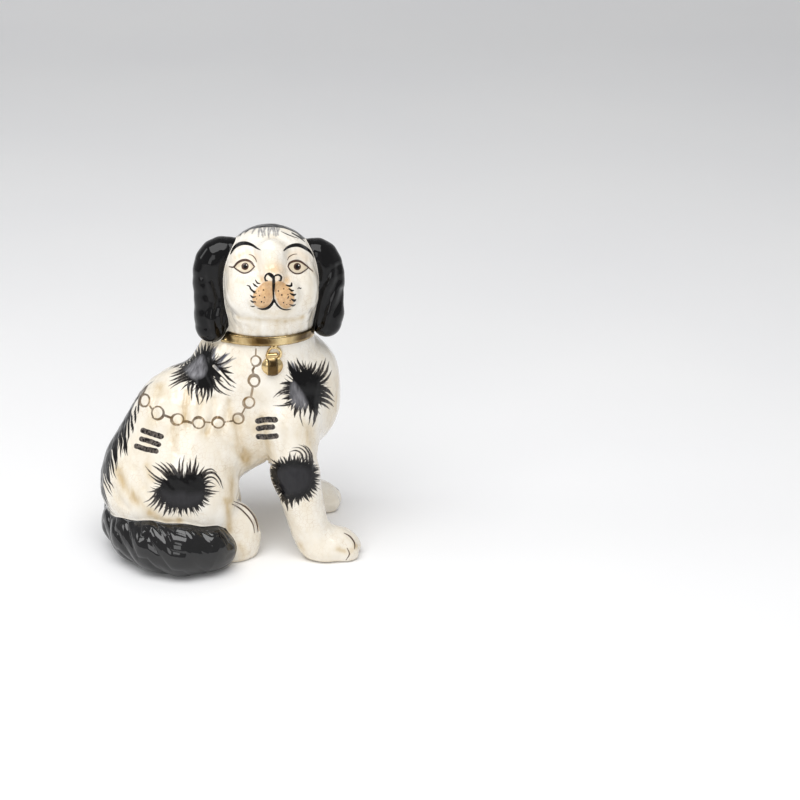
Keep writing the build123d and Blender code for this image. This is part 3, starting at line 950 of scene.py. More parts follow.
# --- chest patch
CHEST_CORE = smooth_outline([(292, 370), (299, 372), (306, 371), (314, 375), (320, 382), (321, 392), (318, 401), (314, 408), (308, 403),
                             (303, 404), (297, 404), (291, 398), (290, 388), (293, 379)])
CHEST = []
for a in [(297, 378, 287.5, 360, -0.10, 2.4), (300, 376, 294, 361, 0.0, 1.2), (308, 376, 296.5, 357.5, -0.12, 1.8), (310, 376, 302, 360, -0.1, 0.9),
          (307, 374, 312, 362, 0.14, 1.5), (310, 374, 316.5, 361, 0.14, 1.5), (315, 376, 322, 360, 0.1, 1.1), (317, 378, 325.5, 358, 0.12, 1.5),
          (319, 380, 329, 361, 0.22, 1.5), (321, 383, 331.5, 370, 0.24, 1.2), (320, 387, 333.5, 397, -0.22, 1.8), (320, 391, 331, 398, -0.1, 1.2),
          (319, 395, 335, 402, -0.2, 1.4), (318, 399, 334, 407, -0.2, 1.9), (317, 402, 330, 409.5, -0.15, 1.1),
          (316, 402, 312.5, 427, -0.10, 2.1), (313, 404, 309, 419, 0.0, 1.1), (309, 402, 308.5, 425, -0.15, 1.0), (307, 403, 304, 417, 0.05, 1.5),
          (301, 404, 303.5, 427, 0.18, 0.8), (298, 404, 294.5, 418, 0.1, 1.9), (294, 402, 291, 411, 0.1, 1.0), (303, 404, 300, 413, 0.1, 1.2),
          (292, 384, 279.5, 384, 0.14, 1.7), (292, 387, 282, 388.5, 0.05, 1.2), (291, 389, 273, 398, 0.26, 0.9), (291, 391, 277, 397, 0.2, 0.8),
          (292, 394, 276, 394, 0.16, 0.8), (292, 397, 282, 399, 0.0, 1.5), (293, 400, 283, 404, -0.1, 0.9), (294, 403, 273, 405.5, -0.12, 0.9)]:
    CHEST += bow(*a)
# painted reflection: a light sheen laid over the left part of the chest patch
CHEST_SHEEN = smooth_outline([(292, 383), (296, 385), (301, 392), (307, 403), (303, 409), (297, 407), (291, 400)])
CHEST_SOFT = bow(297, 375, 291, 361, 0.0, 2.6)

# --- foreleg patch
LEG_CORE = smooth_outline([(273, 474), (279, 466), (289, 463), (300, 463), (309, 465), (314, 472), (313, 482), (311, 489), (303, 494), (293, 498),
                           (285, 496), (279, 488)])
LEG = spikes(LEG_CORE, 46, 6.4, 0.35, 1.25, 4)
for a in [(288, 466, 290, 451.5, 0.05, 1.2), (291, 466, 296, 452, 0.05, 0.9), (282, 468, 267.5, 462, -0.12, 1.2), (284, 466, 270, 458.5, -0.12, 1.1),
          (279, 471, 265.5, 469.5, -0.1, 1.1), (286, 496, 288, 511.5, 0.05, 1.6), (290, 497, 292.5, 509, 0.0, 1.5), (283, 494, 283, 503, 0.05, 1.4),
          (297, 496, 299, 506, 0.0, 1.5), (303, 493, 309.5, 502, 0.0, 1.5), (308, 490, 312, 497, 0.0, 1.3)]:
    LEG += bow(*a)
for pts, w in [(((304, 468), (302, 455), (296, 450.5), (289, 452)), (1.4, 1.0, 0.7, 0.1)),
               (((307, 468), (306, 454), (300, 448), (292, 448)), (1.5, 1.0, 0.6, 0.1)),
               (((310, 468), (309.5, 455), (305, 447.5), (298, 444.5)), (1.6, 1.1, 0.7, 0.1)),
               (((312, 470), (312, 457), (309, 449), (303, 444.5)), (1.3, 1.0, 0.6, 0.1))]:
    LEG += curve(pts, w)
LEG_GREY = smooth_outline([(277, 474), (284, 468), (300, 467), (309, 471), (310, 482), (303, 491), (291, 494), (282, 488)])

# --- three-bar marks
BARS = (line([(258, 421), (262, 420), (268, 419.5), (275, 419.8)], 2.6, False) + line([(258.5, 428.5), (264, 427.5), (272.5, 427)], 2.4, False)
        + line([(258.5, 436.5), (266, 437), (276, 436)], 2.5, False))
BARS += (line([(143, 430.5), (150, 433), (161, 436.5)], 2.5, False) + line([(141.5, 439), (149, 441), (158.5, 444.5)], 2.3, False)
         + line([(136.5, 446), (145, 449), (156, 451)], 2.4, False))

# --- gilt chain
CHAIN_C = [(255.5, 361, 5.2, 5.0), (254, 381, 5.4, 5.8), (249, 402.5, 5.4, 5.3), (238, 418.8, 5.6, 5.2), (218, 422.8, 6.0, 5.4),
           (198.5, 423, 6.0, 5.6), (177.5, 419.5, 6.0, 5.4), (157.5, 413, 6.2, 6.4), (144.5, 400.5, 5.0, 6.2)]
CHAIN = []
for i, (cx, cy, rx, ry) in enumerate(CHAIN_C):
    a0 = (-70, -200, 60, -150, 160, 170, 60, -60, 100)[i]
    w0 = (0.7, 1.15, 0.95, 0.8, 0.85, 0.85, 0.9, 0.8, 0.95)[i]
    w0 *= 1.2
    CHAIN += ring(cx, cy, rx, ry, w0 * 0.6, a0, a0 + 100, 6, w0 * 1.35) + ring(cx, cy, rx, ry, w0 * 1.35, a0 + 100, a0 + 200, 6, w0 * 0.6)
    CHAIN += ring(cx + 0.3, cy - 0.2, rx - 0.2, ry, w0 * 0.6, a0 + 200, a0 + 360, 8, w0 * 0.6)
for i, pts in enumerate([((256, 349), (255.6, 356)), ((254.8, 366), (252.6, 370), (253.6, 375)), ((252.8, 387), (251, 397)), ((245.5, 407), (242, 413.5)),
            ((232.5, 421), (228, 421.4), (224, 422.5)), ((212, 422.6), (204.5, 422)), ((192, 423), (187, 421.4), (183.5, 421.5)), ((171.5, 418), (163.5, 415)),
            ((152, 409), (148.5, 404.5))]):
    CHAIN += line(pts, (0.55, 0.9, 1.0, 0.6, 0.6, 0.5, 1.1, 1.0, 0.7)[i], False)
CHAIN += curve([(141.5, 395), (144, 391), (147.5, 385.5)], (1.0, 1.0, 0.3))

# --- face
BROWS = curve([(230.6, 254), (234, 248), (239.5, 244), (246, 243.2), (252, 245), (257, 248.2), (260.5, 250)], (0.5, 1.5, 2.0, 1.9, 1.4, 0.9, 0.3))
BROWS += curve([(284, 250.5), (287.5, 247.5), (293, 245.4), (299, 245.2), (305, 247.8), (310.5, 252), (314, 257.5)], (0.7, 1.3, 1.8, 2.0, 1.8, 1.2, 0.35))
LIDS = curve([(229.3, 266.6), (233.5, 267), (237.5, 262.8), (242, 260.4), (247, 260.2), (251.5, 262.6), (254.4, 266.6)], (0.35, 0.7, 1.0, 1.12, 1.12, 0.95, 0.6))
LIDS += curve([(233.5, 267), (238, 270.4), (243, 273), (248, 272.4), (252, 269.4), (254.4, 266.6)], (0.45, 0.6, 0.62, 0.6, 0.55, 0.45))
LIDS += curve([(288, 266.4), (290, 262.8), (295, 260.9), (300, 261.3), (305, 264.6), (309.5, 268.4), (313, 271.5)], (0.6, 0.95, 1.12, 1.0, 0.8, 0.55, 0.2))
LIDS += curve([(288, 266.4), (290.5, 270.4), (295, 273.4), (300, 273.4), (304, 271.2), (308, 268.2)], (0.45, 0.6, 0.62, 0.6, 0.55, 0.4))
LIDS += curve([(249, 254.5), (252.5, 255.5), (255.5, 259), (256.5, 262)], (0.15, 0.35, 0.35, 0.15))
LIDS += curve([(287.5, 260), (289, 257), (293, 254.6), (297, 254)], (0.15, 0.35, 0.3, 0.1))
NOSE = curve([(265.6, 280.6), (264.9, 277.6), (266.5, 274.6), (269.6, 273.4), (272.3, 274.6), (273.8, 276.8)], (0.9, 0.95, 1.0, 1.0, 0.9, 0.7))
NOSE += curve([(264.9, 278.6), (265.8, 280.4), (267.8, 280.8)], (0.9, 0.9, 0.3))
NOSE += curve([(281.2, 278.2), (280.6, 280.4), (278.8, 280.6)], (1.2, 1.0, 0.3))
NOSE += curve([(269.4, 274.6), (271.6, 276.2), (273.6, 278.0)], (1.2, 1.5, 1.6))
NOSE += curve([(273.8, 276.8), (276, 275.2), (279, 275), (281.3, 277), (281.2, 279.8)], (0.7, 0.9, 1.0, 1.0, 0.7))
NOSE += curve([(273.5, 277.2), (273.7, 281), (273.6, 286), (273.4, 292), (273.7, 298), (274, 301)], (1.0, 1.6, 1.5, 1.0, 0.85, 1.0))
NOSE += curve([(273.6, 300), (271.4, 304.5), (267.5, 308), (262.5, 309.2), (257.6, 308.2)], (1.0, 1.5, 1.5, 1.0, 0.3))
NOSE += curve([(274.2, 300), (277, 304.8), (281, 308.4), (286, 309.8), (291, 309)], (0.9, 1.0, 0.8, 0.65, 0.3))
DOTS = [(263.5, 290, .8), (258.8, 291, .55), (256.4, 293.2, .5), (259.5, 295.6, .75), (264.6, 297.2, .75), (256.6, 299, .5), (261.5, 301.8, .9), (264, 302.6, .6),
        (255.8, 302.6, .5), (278.4, 291, .8), (281.8, 295, .95), (283.8, 288.8, .7), (288, 294.4, .7), (283.6, 302.6, .75), (286.8, 304.6, .6), (278, 299, .4),
        (290.2, 300.6, .6), (288, 289.5, .4)]
WHISK = []
for pts, w in [(((247, 285.2), (249.6, 286.4), (250.8, 289), (253.2, 291.2), (255.8, 291.4)), (.3, .7, .8, .8, .3)),
               (((250.6, 295.4), (252.6, 297.2), (255.8, 296.6)), (.4, .9, .3)), (((250.8, 300.6), (252.8, 302), (255.6, 301.6)), (.4, .8, .3)),
               (((253.2, 283.6), (255, 285.4), (257.8, 287)), (.4, .9, .3)), (((255.4, 280), (257.4, 283), (260.2, 283.6)), (.3, .8, .3)),
               (((252.4, 290.8), (254, 292.6), (256, 293)), (.3, .6, .2)), (((250.6, 306), (253, 306.6), (255, 306)), (.2, .5, .2)),
               (((291.6, 283), (291.4, 285.4), (289.4, 286), (286, 285)), (.6, 1.1, 1.0, .4)), (((293.6, 290.4), (291.6, 290.6), (289, 288.6)), (.4, 1.0, .4)),
               (((295.8, 294.2), (293.6, 295), (290.2, 293.4)), (.4, 1.2, .4)), (((295.8, 299.6), (294.2, 300.6), (291.2, 299)), (.4, 1.3, .4)),
               (((295.4, 304.6), (293, 305.6), (289.6, 304.6)), (.4, .9, .3)), (((288.6, 296.6), (287.8, 298.2)), (.5, .4)),
               (((297.6, 288.8), (299, 287.8), (300.2, 288.4), (301.4, 288)), (.25, .5, .5, .2))]:
    WHISK += curve(pts, w, 3)
MUZ_L = smooth_outline([(262.6, 282.6), (266, 281), (270, 280.6), (273.6, 283), (273.2, 296), (270.6, 304), (265, 308.4), (258, 307.6), (253, 303), (252.4, 296), (256, 289), (260.5, 284.5)])
MUZ_R = smooth_outline([(273.9, 283), (277, 281), (281.5, 280.8), (286.5, 284), (291.4, 288.6), (294.4, 295), (294.4, 302), (291, 307.4), (284.6, 309), (279, 305), (275.4, 297), (274, 289)])


# --- crown, laid out round a point behind the top of the head
CROWN_AXIS = np.array([0.0, math.sin(math.radians(24)), math.cos(math.radians(24))])
CROWN_BACK = np.cross(np.array([1.0, 0, 0]), CROWN_AXIS)


def crown_place(p):
    q = p - np.array([28.9, -9.0, 197.0])
    r = np.linalg.norm(q, axis=1)
    a, b = q[:, 0] / r, q @ -CROWN_BACK / r
    c = np.clip(q @ CROWN_AXIS / r, -1, 1)
    k = 30.0 * np.arccos(c) / np.sqrt(a * a + b * b + 1e-9)
    return a * k, b * k


CROWN_CORE = smooth_outline([(20.0 * math.cos(a), 3.0 + 15.2 * math.sin(a)) for a in np.linspace(0, 2 * math.pi, 14, endpoint=False)], 3)
CROWN = spikes(CROWN_CORE, 40, 8.0, 0.25, 0.95, 9, arc=(0.02, 0.52))
CROWN += spikes(CROWN_CORE, 10, 5.0, 0.2, 0.8, 12, arc=(0.52, 0.62)) + spikes(CROWN_CORE, 10, 5.0, 0.2, 0.8, 13, arc=(0.92, 1.02))
FRINGE = []
for a in [(257, 227, 252, 233.6, 0.18, .4), (259.5, 228, 258.4, 236.5, 0.05, .5), (260.6, 228, 263, 237, -0.05, .5), (264, 228, 265.2, 235.6, 0.05, .4),
          (265.5, 228, 261.8, 235, 0.05, .4), (268.6, 228, 268.8, 237.6, 0.06, .6), (271.4, 228, 268.6, 235.6, 0.05, .45), (272.6, 228, 273.8, 235, -0.06, .45),
          (274.2, 228, 275.8, 236, -0.05, .5), (276.8, 228, 278.4, 235, 0.05, .45), (279, 228.6, 276.6, 235.6, 0.05, .45)]:
    FRINGE += bow(*a)

CROWN_BAND = smooth_outline([(239, 235.2), (244, 231.6), (250, 229.4), (257, 228.0), (265, 227.4), (275, 227.4), (284, 228.4), (291, 230.8), (297, 233.8), (304, 239.5),
                             (309, 228), (290, 214), (255, 214), (236, 225)], 3)
CROWN_LINE = curve([(281, 231.4), (287, 234.2), (293, 236.6), (298.5, 238.4)], (0.2, 0.5, 0.45, 0.2)) + curve([(292, 233), (299, 237), (305, 242)], (0.6, 0.8, 0.2))

# --- spine stripe, laid out over the back: across, height
SPINE = []
rng = np.random.default_rng(21)
for i, z in enumerate(np.linspace(97, 38, 22)):
    reach = 16 + 8 * math.sin(math.pi * min(1, max(0, (100 - z) / 66)) ** 0.8) + rng.uniform(-2.5, 3)
    SPINE += bow(5.0, z, reach, z - rng.uniform(10, 17), rng.uniform(0.05, 0.22), rng.uniform(0.9, 1.4), tip=0.1)
for i, z in enumerate(np.linspace(99, 33, 15)):
    SPINE += bow(4.0, z, rng.uniform(11, 16), z - rng.uniform(6, 10), rng.uniform(0.0, 0.25), rng.uniform(0.7, 1.1), tip=0.1)
for i in range(15):
    z = 110 - i * 1.15
    w = 4.5 + 1.25 * (i % 5) + 0.5 * i
    SPINE += bow(w, z, w + 2.2, z - 3.4, 0.2, 0.55, tip=0.15)
SPINE_CORE = [(-1, 122), (0.7, 118), (1.1, 112), (2.4, 105), (4.6, 99), (6.6, 92), (8.2, 82), (8.8, 70), (8.6, 56), (7.2, 44), (5.0, 34), (2.0, 27), (-1, 26)]

HAUNCH += spikes(HAUNCH_CORE, 84, 8.5, 0.12, 0.5, 21)
SHOULDER += spikes(SHOULDER_CORE, 70, 8.5, 0.12, 0.5, 22)
CHEST += spikes(CHEST_CORE, 76, 8.5, 0.12, 0.5, 23)
LEG += spikes(LEG_CORE, 70, 8.0, 0.12, 0.5, 24)
TOE_LINES_HIND = (curve([(232, 504), (240, 508.5), (248, 516.5), (253, 524.5), (254.5, 533)], (.3, .6, .6, .5, .2), 3)
                  + curve([(234, 501.5), (245, 506.5), (253, 515), (257, 524), (258, 532)], (.3, .7, .75, .7, .2), 3)
                  + curve([(238, 499.5), (249, 504.5), (257, 513), (261, 522), (262.5, 529)], (.3, .7, .7, .6, .2), 3))
TOE_LINES_FORE = (curve([(354.5, 549), (354.5, 543), (350, 536.5), (344, 533)], (.2, .6, .6, .2), 3) + curve([(330, 497), (335, 502), (336, 508), (334, 512)], (.3, .8, .8, .3), 3)
                  + curve([(324, 491), (330, 490.5), (336, 495.5)], (.3, .7, .3), 3) + curve([(346, 560), (349.5, 554), (347, 548)], (.2, .5, .2), 3))


def patch(u, v, core, strokes):
    """Ink inside a core with soft-edged hairs round it."""
    return np.minimum(blob(u, v, core), capsules(u, v, strokes))


def paint(p, n, want=None):
    """Signed distances, in mm, to each painted colour, for points on the skin."""
    k = 0.672
    x, y, z = p[:, 0], p[:, 1], p[:, 2]
    q = np.stack([x, -np.abs(y), z], 1)
    u, v = to_px(q)
    uf, vf = to_px(p)
    near = np.stack([n[:, 0], n[:, 1] * np.where(y > 0, -1, 1), n[:, 2]], 1)
    to_eye = EYE - q
    to_eye /= np.linalg.norm(to_eye, axis=1, keepdims=True)
    facing = (near * to_eye).sum(1)
    out = 30.0
    head = z > 153.8 - 0.125 * (y + 9)
    ink = np.full(len(p), out)
    painted_sheen = np.full(len(p), out)
    gold = np.full(len(p), out)
    soft = np.full(len(p), out)

    b = ~head & (facing > 0.10) & ((np.abs(y) > 21) | (z > 95))
    ub, vb = u[b], v[b]
    wu = ub + 0.16 * np.sin(z[b] * 1.1 + 0.5 * x[b])
    d = np.minimum(patch(wu, vb, SHOULDER_CORE, SHOULDER), capsules(wu, vb, HAUNCH))
    d = np.minimum(d, blob(wu, vb, HAUNCH_CORE))
    d = np.minimum(d, patch(wu, vb, CHEST_CORE, CHEST))
    d = np.minimum(d, patch(wu, vb, LEG_CORE, LEG))
    d = np.minimum(d, capsules(wu, vb, BARS) - 0.3 + 0.1 * np.sin(wu * 0.9 + vb))
    d = np.maximum(d, -capsules(wu, vb, SHOULDER_CUT))
    ink[b] = d * k
    # painted reflection: a light sheen on the shoulder and chest patches
    g = np.minimum(blob(wu, vb, SHOULDER_SHEEN), blob(wu, vb, CHEST_SHEEN))
    painted_sheen[b] = g * k
    soft[b] = np.minimum(capsules(ub, vb, SHOULDER_SOFT), capsules(ub, vb, CHEST_SOFT)) * k
    gold[b] = (capsules(ub, vb, CHAIN) - 0.2) * k
    tip = np.zeros(len(p))
    cores = np.minimum(np.minimum(blob(wu, vb, HAUNCH_CORE), blob(wu, vb, SHOULDER_CORE)), np.minimum(blob(wu, vb, CHEST_CORE), blob(wu, vb, LEG_CORE)))
    tip[b] = np.clip(cores / 6.0, 0, 3)
    wash = np.full(len(p), out)
    wash[b] = np.minimum(blob(wu, vb, HAUNCH_GREY), blob(wu, vb, LEG_GREY)) * k

    # spine
    b = ~head & (x < 8) & (np.abs(y) < 45) & (z > 18) & (n[:, 0] < 0.15)
    a_, z_ = np.abs(y[b]) + 0.15 * np.sin(z[b] * 0.9), z[b]
    sp = np.minimum(blob(a_, z_, SPINE_CORE), capsules(a_, z_, SPINE))
    tip[b] = np.where(sp < 1.0, 0.0, tip[b])
    ink[b] = np.minimum(ink[b], sp)
    # crown
    b = head & (z > 185)
    ca, cb = crown_place(p[b])
    ink[b] = np.minimum(blob(ca, cb, CROWN_CORE), capsules(ca, cb, CROWN))
    b = head & (z > 205) & (y < 12)
    ink[b] = np.minimum(ink[b], np.minimum(blob(uf[b], vf[b], CROWN_BAND), capsules(uf[b], vf[b], CROWN_LINE)) * k)
    soft[b] = (capsules(uf[b], vf[b], FRINGE) - 0.25) * k
    # face
    f = head & (y < -12) & (z < 228)
    uf, vf = uf[f], vf[f]
    fi = np.minimum(capsules(uf, vf, BROWS), capsules(uf, vf, NOSE))
    fi = np.minimum(fi, capsules(uf, vf, WHISK) - 0.12)
    for cx, cy, r in DOTS:
        fi = np.minimum(fi, np.hypot((uf - cx) * 1.15, vf - cy) - r)
    for cx, cy in ((245.2, 266.4), (297.4, 266.7)):
        fi = np.minimum(fi, np.hypot(uf - cx, vf - cy) - 2.15)
    ink[f] = np.minimum(ink[f], fi * k)
    brown = np.full(len(p), out)
    br = capsules(uf, vf, LIDS) - 0.16
    for cx, cy in ((245.0, 266.3), (297.3, 266.6)):
        br = np.minimum(br, np.hypot(uf - cx, vf - cy) - 3.7)
    brown[f] = br * k
    toes = ~head & (facing > 0.02) & (z < 50)
    brown[toes] = (capsules(u[toes], v[toes], TOE_LINES_HIND + TOE_LINES_FORE) - 0.12) * k
    eye = np.full(len(p), out)
    ew = blob(uf, vf, smooth_outline([(234.5, 267), (239, 262.6), (244.5, 260.8), (250, 262.2), (254, 266.5), (250, 271.2), (244.5, 272.6), (239, 270.6)]))
    ew = np.minimum(ew, blob(uf, vf, smooth_outline([(288.6, 266.4), (292, 262.4), (297.5, 261.2), (303, 263.6), (308, 268.2), (303, 271.8), (297, 273.2), (291.6, 270.6)])))
    eye[f] = ew * k
    blush = np.full(len(p), out)
    blush[f] = np.minimum(blob(uf, vf, MUZ_L), blob(uf, vf, MUZ_R)) * k
    # painted highlight: a small light dot on each eye
    eye_glint = np.full(len(p), out)
    cd = np.minimum(np.hypot(uf - 246.6, vf - 265.0), np.hypot(uf - 298.8, vf - 265.3)) - 0.55
    eye_glint[f] = cd * k
    hair = np.where(f, -1.0, 1.0)
    return {"tip": tip, "hair": hair, "ink": ink, "painted_sheen": painted_sheen, "wash": wash, "soft": soft, "gold": gold, "brown": brown, "eye": eye, "blush": blush, "eye_glint": eye_glint}


def tint(p, n):
    """Where the stain has gathered in the glaze, with a darkening next to the floor, 0..1, and a peach wash over the
    nose.
    """
    q = np.stack([p[:, 0], -np.abs(p[:, 1]), p[:, 2]], 1)
    u, v = to_px(q)
    s = np.zeros(len(p))
    for ln, width, depth in FOLDS:
        s += 0.38 * depth * groove(u, v, ln, width * 1.9)
    for ln, width, depth in STAINS:
        s += depth * groove(u, v, ln, width)
    uf, vf = to_px(p)
    front = (p[:, 1] < -12) & (p[:, 2] > 158)
    face = np.zeros(len(p))
    for ln, width, depth in FACE_STAINS:
        face = np.maximum(face, depth * groove(uf, vf, ln, width))
    s = np.where(front, face, s)
    head = p[:, 2] > 153.8 - 0.125 * (p[:, 1] + 9)
    throat = ss(-p[:, 1], -5, 8) * (head & (p[:, 2] < 176))
    s = s + 0.07 * throat * (1 + np.sin(p[:, 0] * 1.1 + 0.9 * wob(p, 9, 0.4)))
    s = s + 0.10 * (1 + wob(p * np.array([1, 1, 0.35]), 7.0, 2.0)) + 0.07 * (1 + wob(p, 19.0, 1.0)) * (~front)
    # darker within the lowest 4 mm, next to the floor
    low = 0.22 * (1 - ss(p[:, 2], 0.5, 4.0))
    peach = np.where(front, 0.78 * np.exp(-((uf - 274) / 10.0) ** 2 - ((vf - 269.5) / 7.0) ** 2)
                     + 0.85 * np.exp(-((uf - 261.8) / 3.6) ** 2 - ((vf - 279.6) / 4.0) ** 2)
                     + 0.85 * np.exp(-((uf - 286.4) / 3.6) ** 2 - ((vf - 280.4) / 4.2) ** 2)
                     + 0.35 * np.exp(-((uf - 274) / 7.0) ** 2 - ((vf - 280.5) / 3.0) ** 2)
                     + 0.35 * groove(uf, vf, ((238, 257), (247, 252), (255, 257)), 4.0)
                     + 0.28 * groove(uf, vf, ((290, 257), (298, 252), (306, 258)), 4.0), 0)
    return np.clip(s + low, 0, 1), np.clip(peach, 0, 1)


STAINS = [
    (((118, 470), (126, 486), (136, 500), (150, 512)), 5.5, 0.42), (((150, 514), (165, 520), (180, 521)), 3.5, 0.50),
    (((226, 500), (228, 515), (229, 530)), 4.0, 0.55), (((240, 440), (244, 455), (246, 468)), 6.0, 0.28),
    (((146, 465), (150, 476), (153, 480)), 3.5, 0.25), (((196, 345), (206, 342), (214, 345)), 5.0, 0.45),
    (((186, 395), (186, 410), (185, 420)), 4.5, 0.35), (((308, 425), (310, 440), (312, 456)), 6.0, 0.25),
    (((300, 545), (302, 555), (312, 560)), 3.5, 0.25), (((338, 549), (349, 553), (356, 546)), 3.0, 0.50),
    (((326, 500), (334, 504), (338, 512)), 3.5, 0.60), (((242, 502), (254, 512), (261, 528)), 2.6, 0.50),
    (((240, 545), (246, 552), (243, 558)), 4.0, 0.25), (((332, 380), (334, 400), (331, 425)), 5.0, 0.30),
    (((258, 448), (262, 462), (268, 478)), 5.0, 0.25), (((265, 440), (272, 452), (276, 462)), 4.0, 0.22),
    (((160, 388), (172, 410), (176, 440)), 8.0, 0.16), (((200, 430), (210, 445), (228, 462)), 7.0, 0.20),
    (((230, 470), (233, 485), (232, 500)), 5.0, 0.22), (((285, 500), (292, 520), (300, 545)), 5.0, 0.18),
    (((262, 392), (262, 410), (258, 430)), 6.0, 0.15),
]
FACE_STAINS = [
    (((237, 317), (242, 318.5), (250, 318.5)), 2.0, 0.60), (((285, 321), (294, 320), (303, 317)), 2.2, 0.55), (((250, 318.5), (268, 320.5), (285, 321)), 2.0, 0.22),
    (((262, 310), (274, 314), (286, 310)), 4.0, 0.35), (((228, 268), (229, 285), (231, 300)), 3.0, 0.22), (((312, 268), (311, 285), (310, 300)), 3.0, 0.2),
    (((238, 280), (244, 283), (252, 281)), 3.0, 0.22), (((262, 262), (268, 268), (274, 262)), 5.0, 0.15), (((250, 303), (253, 309), (260, 313)), 2.5, 0.35),
    (((233, 262), (236, 258), (240, 256)), 2.5, 0.2),
]

# ------------------------------------------------------------------ refining
def outer_normals():
    return vertex_normals(body.V, body.T[body.kind == 0])


COARSE = np.array([1.55, 1.55, 3.0, 1.25, 1.5, 0.85, 0.85, 1.3, 1.3, 1.15, 1.15, 0.9])
PLAIN = [L["right_ear"], L["left_ear"], L["tail"], L["foot_slab"]]


def paint_near(mid, nm):
    """Distance to the nearest painted edge."""
    d = paint(mid, nm)
    near = np.full(len(mid), 30.0)
    for key in ("ink", "gold", "brown", "eye", "blush", "painted_sheen", "eye_glint"):
        near = np.minimum(near, np.abs(d[key]) * (1.0 if key != "painted_sheen" else 1.6))
    return near


def want_plain(mid, lab, E, length):
    return COARSE[lab]


def want_painted(mid, lab, E, length):
    want = COARSE[lab].copy()
    rows = np.nonzero(~np.isin(lab, PLAIN) & (length > 0.42))[0]
    n = NOW["n"][E[rows]].sum(1)
    n /= np.linalg.norm(n, axis=1, keepdims=True) + 1e-9
    q = mid[rows]
    near = paint_near(q, n)
    face = (q[:, 1] < -14) & (q[:, 2] > 160)
    w = want[rows]
    w = np.where(near < np.where(face, 0.75, 0.85), np.where(face, 0.42, 0.58), np.where(near < 3.0, np.minimum(w, 0.95), w))
    want[rows] = np.where(face & (q[:, 2] > 172), np.minimum(w, 0.85), w)
    return want


NOW = {}
body.refine(want_plain, 2, SEAMS)
for _ in range(3):
    NOW["n"] = outer_normals()
    body.refine(want_painted, 1, SEAMS)
outer = body.kind == 0
skin = np.unique(body.T[outer])
VN = outer_normals()
say("refined", len(body.V), len(body.T), {n: int(((body.lab == i) & outer).sum()) for n, i in L.items()})

layers = {}
got = paint(body.V[skin], VN[skin])
for key, val in got.items():
    a = np.full(len(body.V), 3.0)
    a[skin] = np.clip(val, -3, 3)
    layers[key] = a
stain, peach = tint(body.V[skin], VN[skin])
layers["stain"] = np.zeros(len(body.V))
layers["peach"] = np.zeros(len(body.V))
layers["stain"][skin] = stain
layers["peach"][skin] = peach
say("painted")


# ------------------------------------------------------------------ looks
def material(name):
    m = bpy.data.materials.new(name)
    m.use_nodes = True
    nt = m.node_tree
    nt.nodes.clear()
    out = nt.nodes.new("ShaderNodeOutputMaterial")
    bsdf = nt.nodes.new("ShaderNodeBsdfPrincipled")
    nt.links.new(bsdf.outputs[0], out.inputs[0])
    return m, nt, bsdf


class Net:
    """Short names for wiring a node tree."""

    def __init__(self, nt):
        self.nt = nt

    def put(self, socket, val):
        if isinstance(val, bpy.types.NodeSocket):
            self.nt.links.new(val, socket)
        elif hasattr(socket, "default_value"):
            try:
                socket.default_value = val
            except TypeError:
                socket.default_value = (*val, 1.0)
            except ValueError:
                socket.default_value = (*val, 1.0)

    def attr(self, name):
        n = self.nt.nodes.new("ShaderNodeAttribute")
        n.attribute_name = name
        return n.outputs["Fac"]

    def coords(self):
        return self.nt.nodes.new("ShaderNodeTexCoord").outputs["Object"]

    def math(self, op, a, b=0.5, c=0.0):
        n = self.nt.nodes.new("ShaderNodeMath")
        n.operation = op
        self.put(n.inputs[0], a)
        self.put(n.inputs[1], b)
        if len(n.inputs) > 2:
            self.put(n.inputs[2], c)
        return n.outputs[0]

    def ramp(self, v, a, b, lo=0.0, hi=1.0, soft=False):
        n = self.nt.nodes.new("ShaderNodeMapRange")
        n.interpolation_type = "SMOOTHSTEP" if soft else "LINEAR"
        self.put(n.inputs["Value"], v)
        n.inputs["From Min"].default_value = a
        n.inputs["From Max"].default_value = b
        n.inputs["To Min"].default_value = lo
        n.inputs["To Max"].default_value = hi
        return n.outputs[0]

    def mix(self, f, a, b, blend="MIX"):
        n = self.nt.nodes.new("ShaderNodeMix")
        n.data_type = "RGBA"
        n.blend_type = blend
        self.put(n.inputs[0], f)
        self.put(n.inputs[6], a)
        self.put(n.inputs[7], b)
        return n.outputs[2]

    def noise(self, vec, scale, detail=2.0, rough=0.5, dist=0.0):
        n = self.nt.nodes.new("ShaderNodeTexNoise")
        n.inputs["Scale"].default_value = scale
        n.inputs["Detail"].default_value = detail
        n.inputs["Roughness"].default_value = rough
        n.inputs["Distortion"].default_value = dist
        self.put(n.inputs["Vector"], vec)
        return n.outputs[0]

    def cracks(self, vec, scale):
        n = self.nt.nodes.new("ShaderNodeTexVoronoi")
        n.feature = "DISTANCE_TO_EDGE"
        n.inputs["Scale"].default_value = scale
        self.put(n.inputs["Vector"], vec)
        return n.outputs["Distance"]

    def stretch(self, vec, s):
        n = self.nt.nodes.new("ShaderNodeMapping")
        n.inputs["Scale"].default_value = s
        self.put(n.inputs["Vector"], vec)
        return n.outputs[0]

    def bump(self, height, strength, distance, base=None):
        n = self.nt.nodes.new("ShaderNodeBump")
        n.inputs["Strength"].default_value = strength
        n.inputs["Distance"].default_value = distance
        self.put(n.inputs["Height"], height)
        if base is not None:
            self.put(n.inputs["Normal"], base)
        return n.outputs[0]


def lin(r, g, b):
    f = lambda c: (c / 12.92) if c <= 0.04045 else ((c + 0.055) / 1.055) ** 2.4
    return (f(r / 255), f(g / 255), f(b / 255), 1.0)


